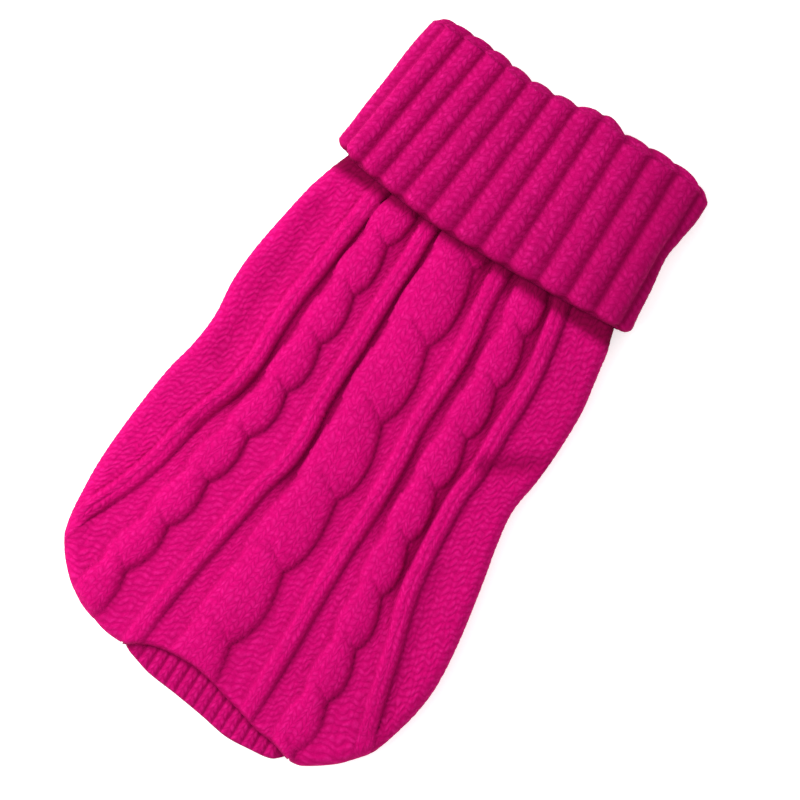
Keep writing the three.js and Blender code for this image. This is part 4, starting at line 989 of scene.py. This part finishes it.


# Wool yarn: stitches drawn from the piece's own counts of stitches and rows, painted shade in the valleys and
# between the stitches, and lighter flecks: the yarn's fuzz and fibres, partly a painted highlight on the
# stitch crests.
def makeYarnGroup():
    group = bpy.data.node_groups.new("woolYarn", "ShaderNodeTree")
    face = group.interface
    for name, kind, start in (
        ("Crest Color", "NodeSocketColor", (0.75, 0.006, 0.19, 1)),
        ("Painted Shade Color", "NodeSocketColor", (0.2, 0, 0.03, 1)),
        ("Fuzz And Highlight Color", "NodeSocketColor", (1, 0.12, 0.42, 1)),
        ("Painted Shade Depth", "NodeSocketFloat", 0.8), ("Stitch Gap Shade", "NodeSocketFloat", 0.35),
        ("Mottle", "NodeSocketFloat", 0.2), ("Fuzz And Highlight", "NodeSocketFloat", 0.3),
    ):
        socket = face.new_socket(name=name, in_out="INPUT", socket_type=kind)
        socket.default_value = start
    face.new_socket(name="Color", in_out="OUTPUT", socket_type="NodeSocketColor")
    for name in ("Roughness", "Height"):
        face.new_socket(name=name, in_out="OUTPUT", socket_type="NodeSocketFloat")
    nodes, links = group.nodes, group.links
    entry, leave = nodes.new("NodeGroupInput"), nodes.new("NodeGroupOutput")
    valley, stitch = nodes.new("ShaderNodeAttribute"), nodes.new("ShaderNodeAttribute")
    valley.attribute_name, stitch.attribute_name = "valley", "stitch"
    place = nodes.new("ShaderNodeTexCoord")
    counts = nodes.new("ShaderNodeSeparateXYZ")
    links.new(stitch.outputs["Vector"], counts.inputs[0])
    wale, row, knit = counts.outputs

    def noise(scale, detail, source):
        node = nodes.new("ShaderNodeTexNoise")
        node.inputs["Scale"].default_value = scale
        node.inputs["Detail"].default_value = detail
        links.new(source, node.inputs["Vector"])
        return node.outputs["Fac"]

    def calc(operation, *values):
        node = nodes.new("ShaderNodeMath")
        node.operation = operation
        for socket, value in zip(node.inputs, values):
            if isinstance(value, (int, float)):
                socket.default_value = value
            else:
                links.new(value, socket)
        return node.outputs[0]

    def dome(value):  # 1 at 0, falling round to 0 at 1 and -1
        return calc("SQRT", calc("MAXIMUM", calc("SUBTRACT", 1, calc("MULTIPLY", value, value)), 0))

    def blend(factor, a, b):
        node = nodes.new("ShaderNodeMix")
        node.data_type = "RGBA"
        links.new(factor, node.inputs["Factor"])
        links.new(a, node.inputs["A"])
        links.new(b, node.inputs["B"])
        return node.outputs["Result"]

    side = calc("ABSOLUTE", calc("SUBTRACT", calc("FRACT", wale), 0.5))
    leg = dome(calc("DIVIDE", calc("SUBTRACT", side, 0.25), 0.27))
    part = calc("FRACT", calc("SUBTRACT", row, calc("MULTIPLY", side, 2 * stitchValues["lean"])))
    legs = calc("MULTIPLY", leg, dome(calc("MULTIPLY_ADD", part, 2, -1)))
    twice = calc("MULTIPLY", wale, 2)
    aside = calc("SUBTRACT", calc("FRACT", twice), 0.5)
    ahead = calc("MULTIPLY_ADD", calc("FLOOR", twice), 0.5, row)
    ahead = calc("SUBTRACT", ahead, calc("MULTIPLY", aside, stitchValues["purlLean"]))
    ahead = calc("SUBTRACT", calc("FRACT", ahead), 0.5)
    off = calc("POWER", calc("DIVIDE", aside, 0.62), 2)
    off = calc("ADD", off, calc("POWER", calc("DIVIDE", ahead, 0.46), 2))
    loops = calc("SQRT", calc("MAXIMUM", calc("SUBTRACT", 1, off), 0))
    stitches = calc("ADD", calc("MULTIPLY", legs, knit), calc("MULTIPLY", loops, calc("SUBTRACT", 1, knit)))
    fibre = noise(1300, 4, place.outputs["Object"])
    fleck = noise(1.3, 2, stitch.outputs["Vector"])
    broad = noise(45, 3, place.outputs["Object"])
    hairs = noise(1700, 2, place.outputs["Object"])
    specks = noise(560, 2, place.outputs["Object"])
    # Painted shade between the stitch loops, added to the painted shade of the valleys.
    gap = calc("MULTIPLY", calc("SUBTRACT", 1, stitches), entry.outputs["Stitch Gap Shade"])
    depth = calc("ADD", calc("MULTIPLY", valley.outputs["Fac"], entry.outputs["Painted Shade Depth"]), gap)
    shade = blend(calc("MINIMUM", depth, 1), entry.outputs["Crest Color"], entry.outputs["Painted Shade Color"])
    # Lighter flecks: the yarn's fuzz and fibres, and a painted highlight on the stitch crests; kept out of
    # the painted shade.
    speck = calc("MINIMUM", calc("MAXIMUM", calc("MULTIPLY_ADD", specks, 5, -2.0), 0), 1.4)
    fuzzAndHighlightMask = calc("MULTIPLY", calc("ADD", speck, 0.2), calc("MULTIPLY", stitches, stitches))
    fuzzAndHighlightMask = calc("ADD", fuzzAndHighlightMask, calc("MAXIMUM", calc("MULTIPLY_ADD", hairs, 3, -1.6), 0))
    fuzzAndHighlightMask = calc("MULTIPLY", fuzzAndHighlightMask, entry.outputs["Fuzz And Highlight"])
    unshaded = calc("SUBTRACT", 1, calc("MULTIPLY", valley.outputs["Fac"], 1.6))
    fuzzAndHighlightMask = calc("MULTIPLY", fuzzAndHighlightMask, calc("MAXIMUM", unshaded, 0))
    shade = blend(calc("MINIMUM", fuzzAndHighlightMask, 0.8), shade, entry.outputs["Fuzz And Highlight Color"])
    spread = calc("MULTIPLY", calc("SUBTRACT", fibre, 0.5), 0.5)
    spread = calc("ADD", spread, calc("MULTIPLY", calc("SUBTRACT", fleck, 0.5), 0.8))
    spread = calc("ADD", spread, calc("MULTIPLY", calc("SUBTRACT", broad, 0.5), 0.6))
    tone = nodes.new("ShaderNodeHueSaturation")
    links.new(shade, tone.inputs["Color"])
    spread = calc("MULTIPLY", spread, calc("MULTIPLY", entry.outputs["Mottle"], 4))
    links.new(calc("ADD", spread, 1), tone.inputs["Value"])
    links.new(tone.outputs["Color"], leave.inputs["Color"])
    links.new(calc("MULTIPLY_ADD", fibre, 0.2, 0.75), leave.inputs["Roughness"])
    links.new(calc("ADD", stitches, calc("MULTIPLY", fibre, 0.5)), leave.inputs["Height"])
    return group


yarnGroup = makeYarnGroup()
# The collar's crest colour is darker than the back's: painted shade, as the collar lies more in shade. The
# hem's crest colour is darker than the back's too.
yarnFinishes = {
    "back_knit": {"crest": (0.43, 0.0002, 0.104, 1), "valleyDepth": 0.9, "stitchGapShade": 0.1},
    "belly_knit": {"crest": (0.48, 0.0006, 0.113, 1), "valleyDepth": 0.9, "stitchGapShade": 0.2},
    "collar_rib": {"crest": (0.35, 0.0002, 0.084, 1), "valleyDepth": 0.9, "stitchGapShade": 0.1},
    "hem_rib": {"crest": (0.37, 0.0002, 0.09, 1), "valleyDepth": 0.9, "stitchGapShade": 0.1},
    "leg_rib": {"crest": (0.44, 0.0006, 0.105, 1), "valleyDepth": 0.9, "stitchGapShade": 0.2},
}
# The painted shade colour, and the colour of the fuzz and painted highlight.
yarnValues = {
    "valley": (0.12, 0.0, 0.022, 1), "fuzzAndHighlightColor": (0.60, 0.011, 0.195, 1), "fuzzAndHighlightShare": 0.34, "mottle": 0.1,
}


def makeYarnMaterial(name, values):
    material = bpy.data.materials.new(name)
    material.use_nodes = True
    nodes, links = material.node_tree.nodes, material.node_tree.links
    shader = nodes["Principled BSDF"]
    yarn = nodes.new("ShaderNodeGroup")
    yarn.node_tree = yarnGroup
    for socket, value in (
        ("Crest Color", values["crest"]), ("Painted Shade Color", yarnValues["valley"]),
        ("Fuzz And Highlight Color", yarnValues["fuzzAndHighlightColor"]),
        ("Painted Shade Depth", values["valleyDepth"]), ("Stitch Gap Shade", values["stitchGapShade"]),
        ("Mottle", yarnValues["mottle"]), ("Fuzz And Highlight", yarnValues["fuzzAndHighlightShare"]),
    ):
        yarn.inputs[socket].default_value = value
    bump = nodes.new("ShaderNodeBump")
    bump.inputs["Strength"].default_value = 0.35
    bump.inputs["Distance"].default_value = 0.0005
    links.new(yarn.outputs["Color"], shader.inputs["Base Color"])
    links.new(yarn.outputs["Roughness"], shader.inputs["Roughness"])
    links.new(yarn.outputs["Height"], bump.inputs["Height"])
    links.new(bump.outputs["Normal"], shader.inputs["Normal"])
    shader.inputs["Specular IOR Level"].default_value = 0.04
    shader.inputs["Sheen Weight"].default_value = 0.04
    shader.inputs["Sheen Roughness"].default_value = 0.45
    shader.inputs["Sheen Tint"].default_value = (1, 0.04, 0.35, 1)
    return material


yarns = {name: makeYarnMaterial(name, values) for name, values in yarnFinishes.items()}
sheets = (
    (backPiece, ("back_panel",), "back_knit", (0.185, 0.206), "laid", ("belly_panel", "hem_band"), None),
    (bellyPiece, ("belly_panel",), "belly_knit", (0.127, 0.196), "laid", ("floor",), 0.0195),
    (collarPiece, ("collar",), "collar_rib", (0.270, 0.122), "folded", ("back_panel",), None),
    (hemPiece, ("hem_band",), "hem_rib", (0.153, 0.020), "gathered", ("belly_panel",), None),
    (legPieceLeft, ("leg_band_left",), "leg_rib", (0.112, 0.010), "stretched", ("belly_panel",), None),
    (legPieceRight, ("leg_band_right",), "leg_rib", (0.112, 0.010), "stretched", ("belly_panel",), None),
)
for piece, nodes, slot, flat, held, restsOn, area in sheets:
    piece.data.materials.append(yarns[slot])
    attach(piece, "root")
    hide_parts(*nodes)
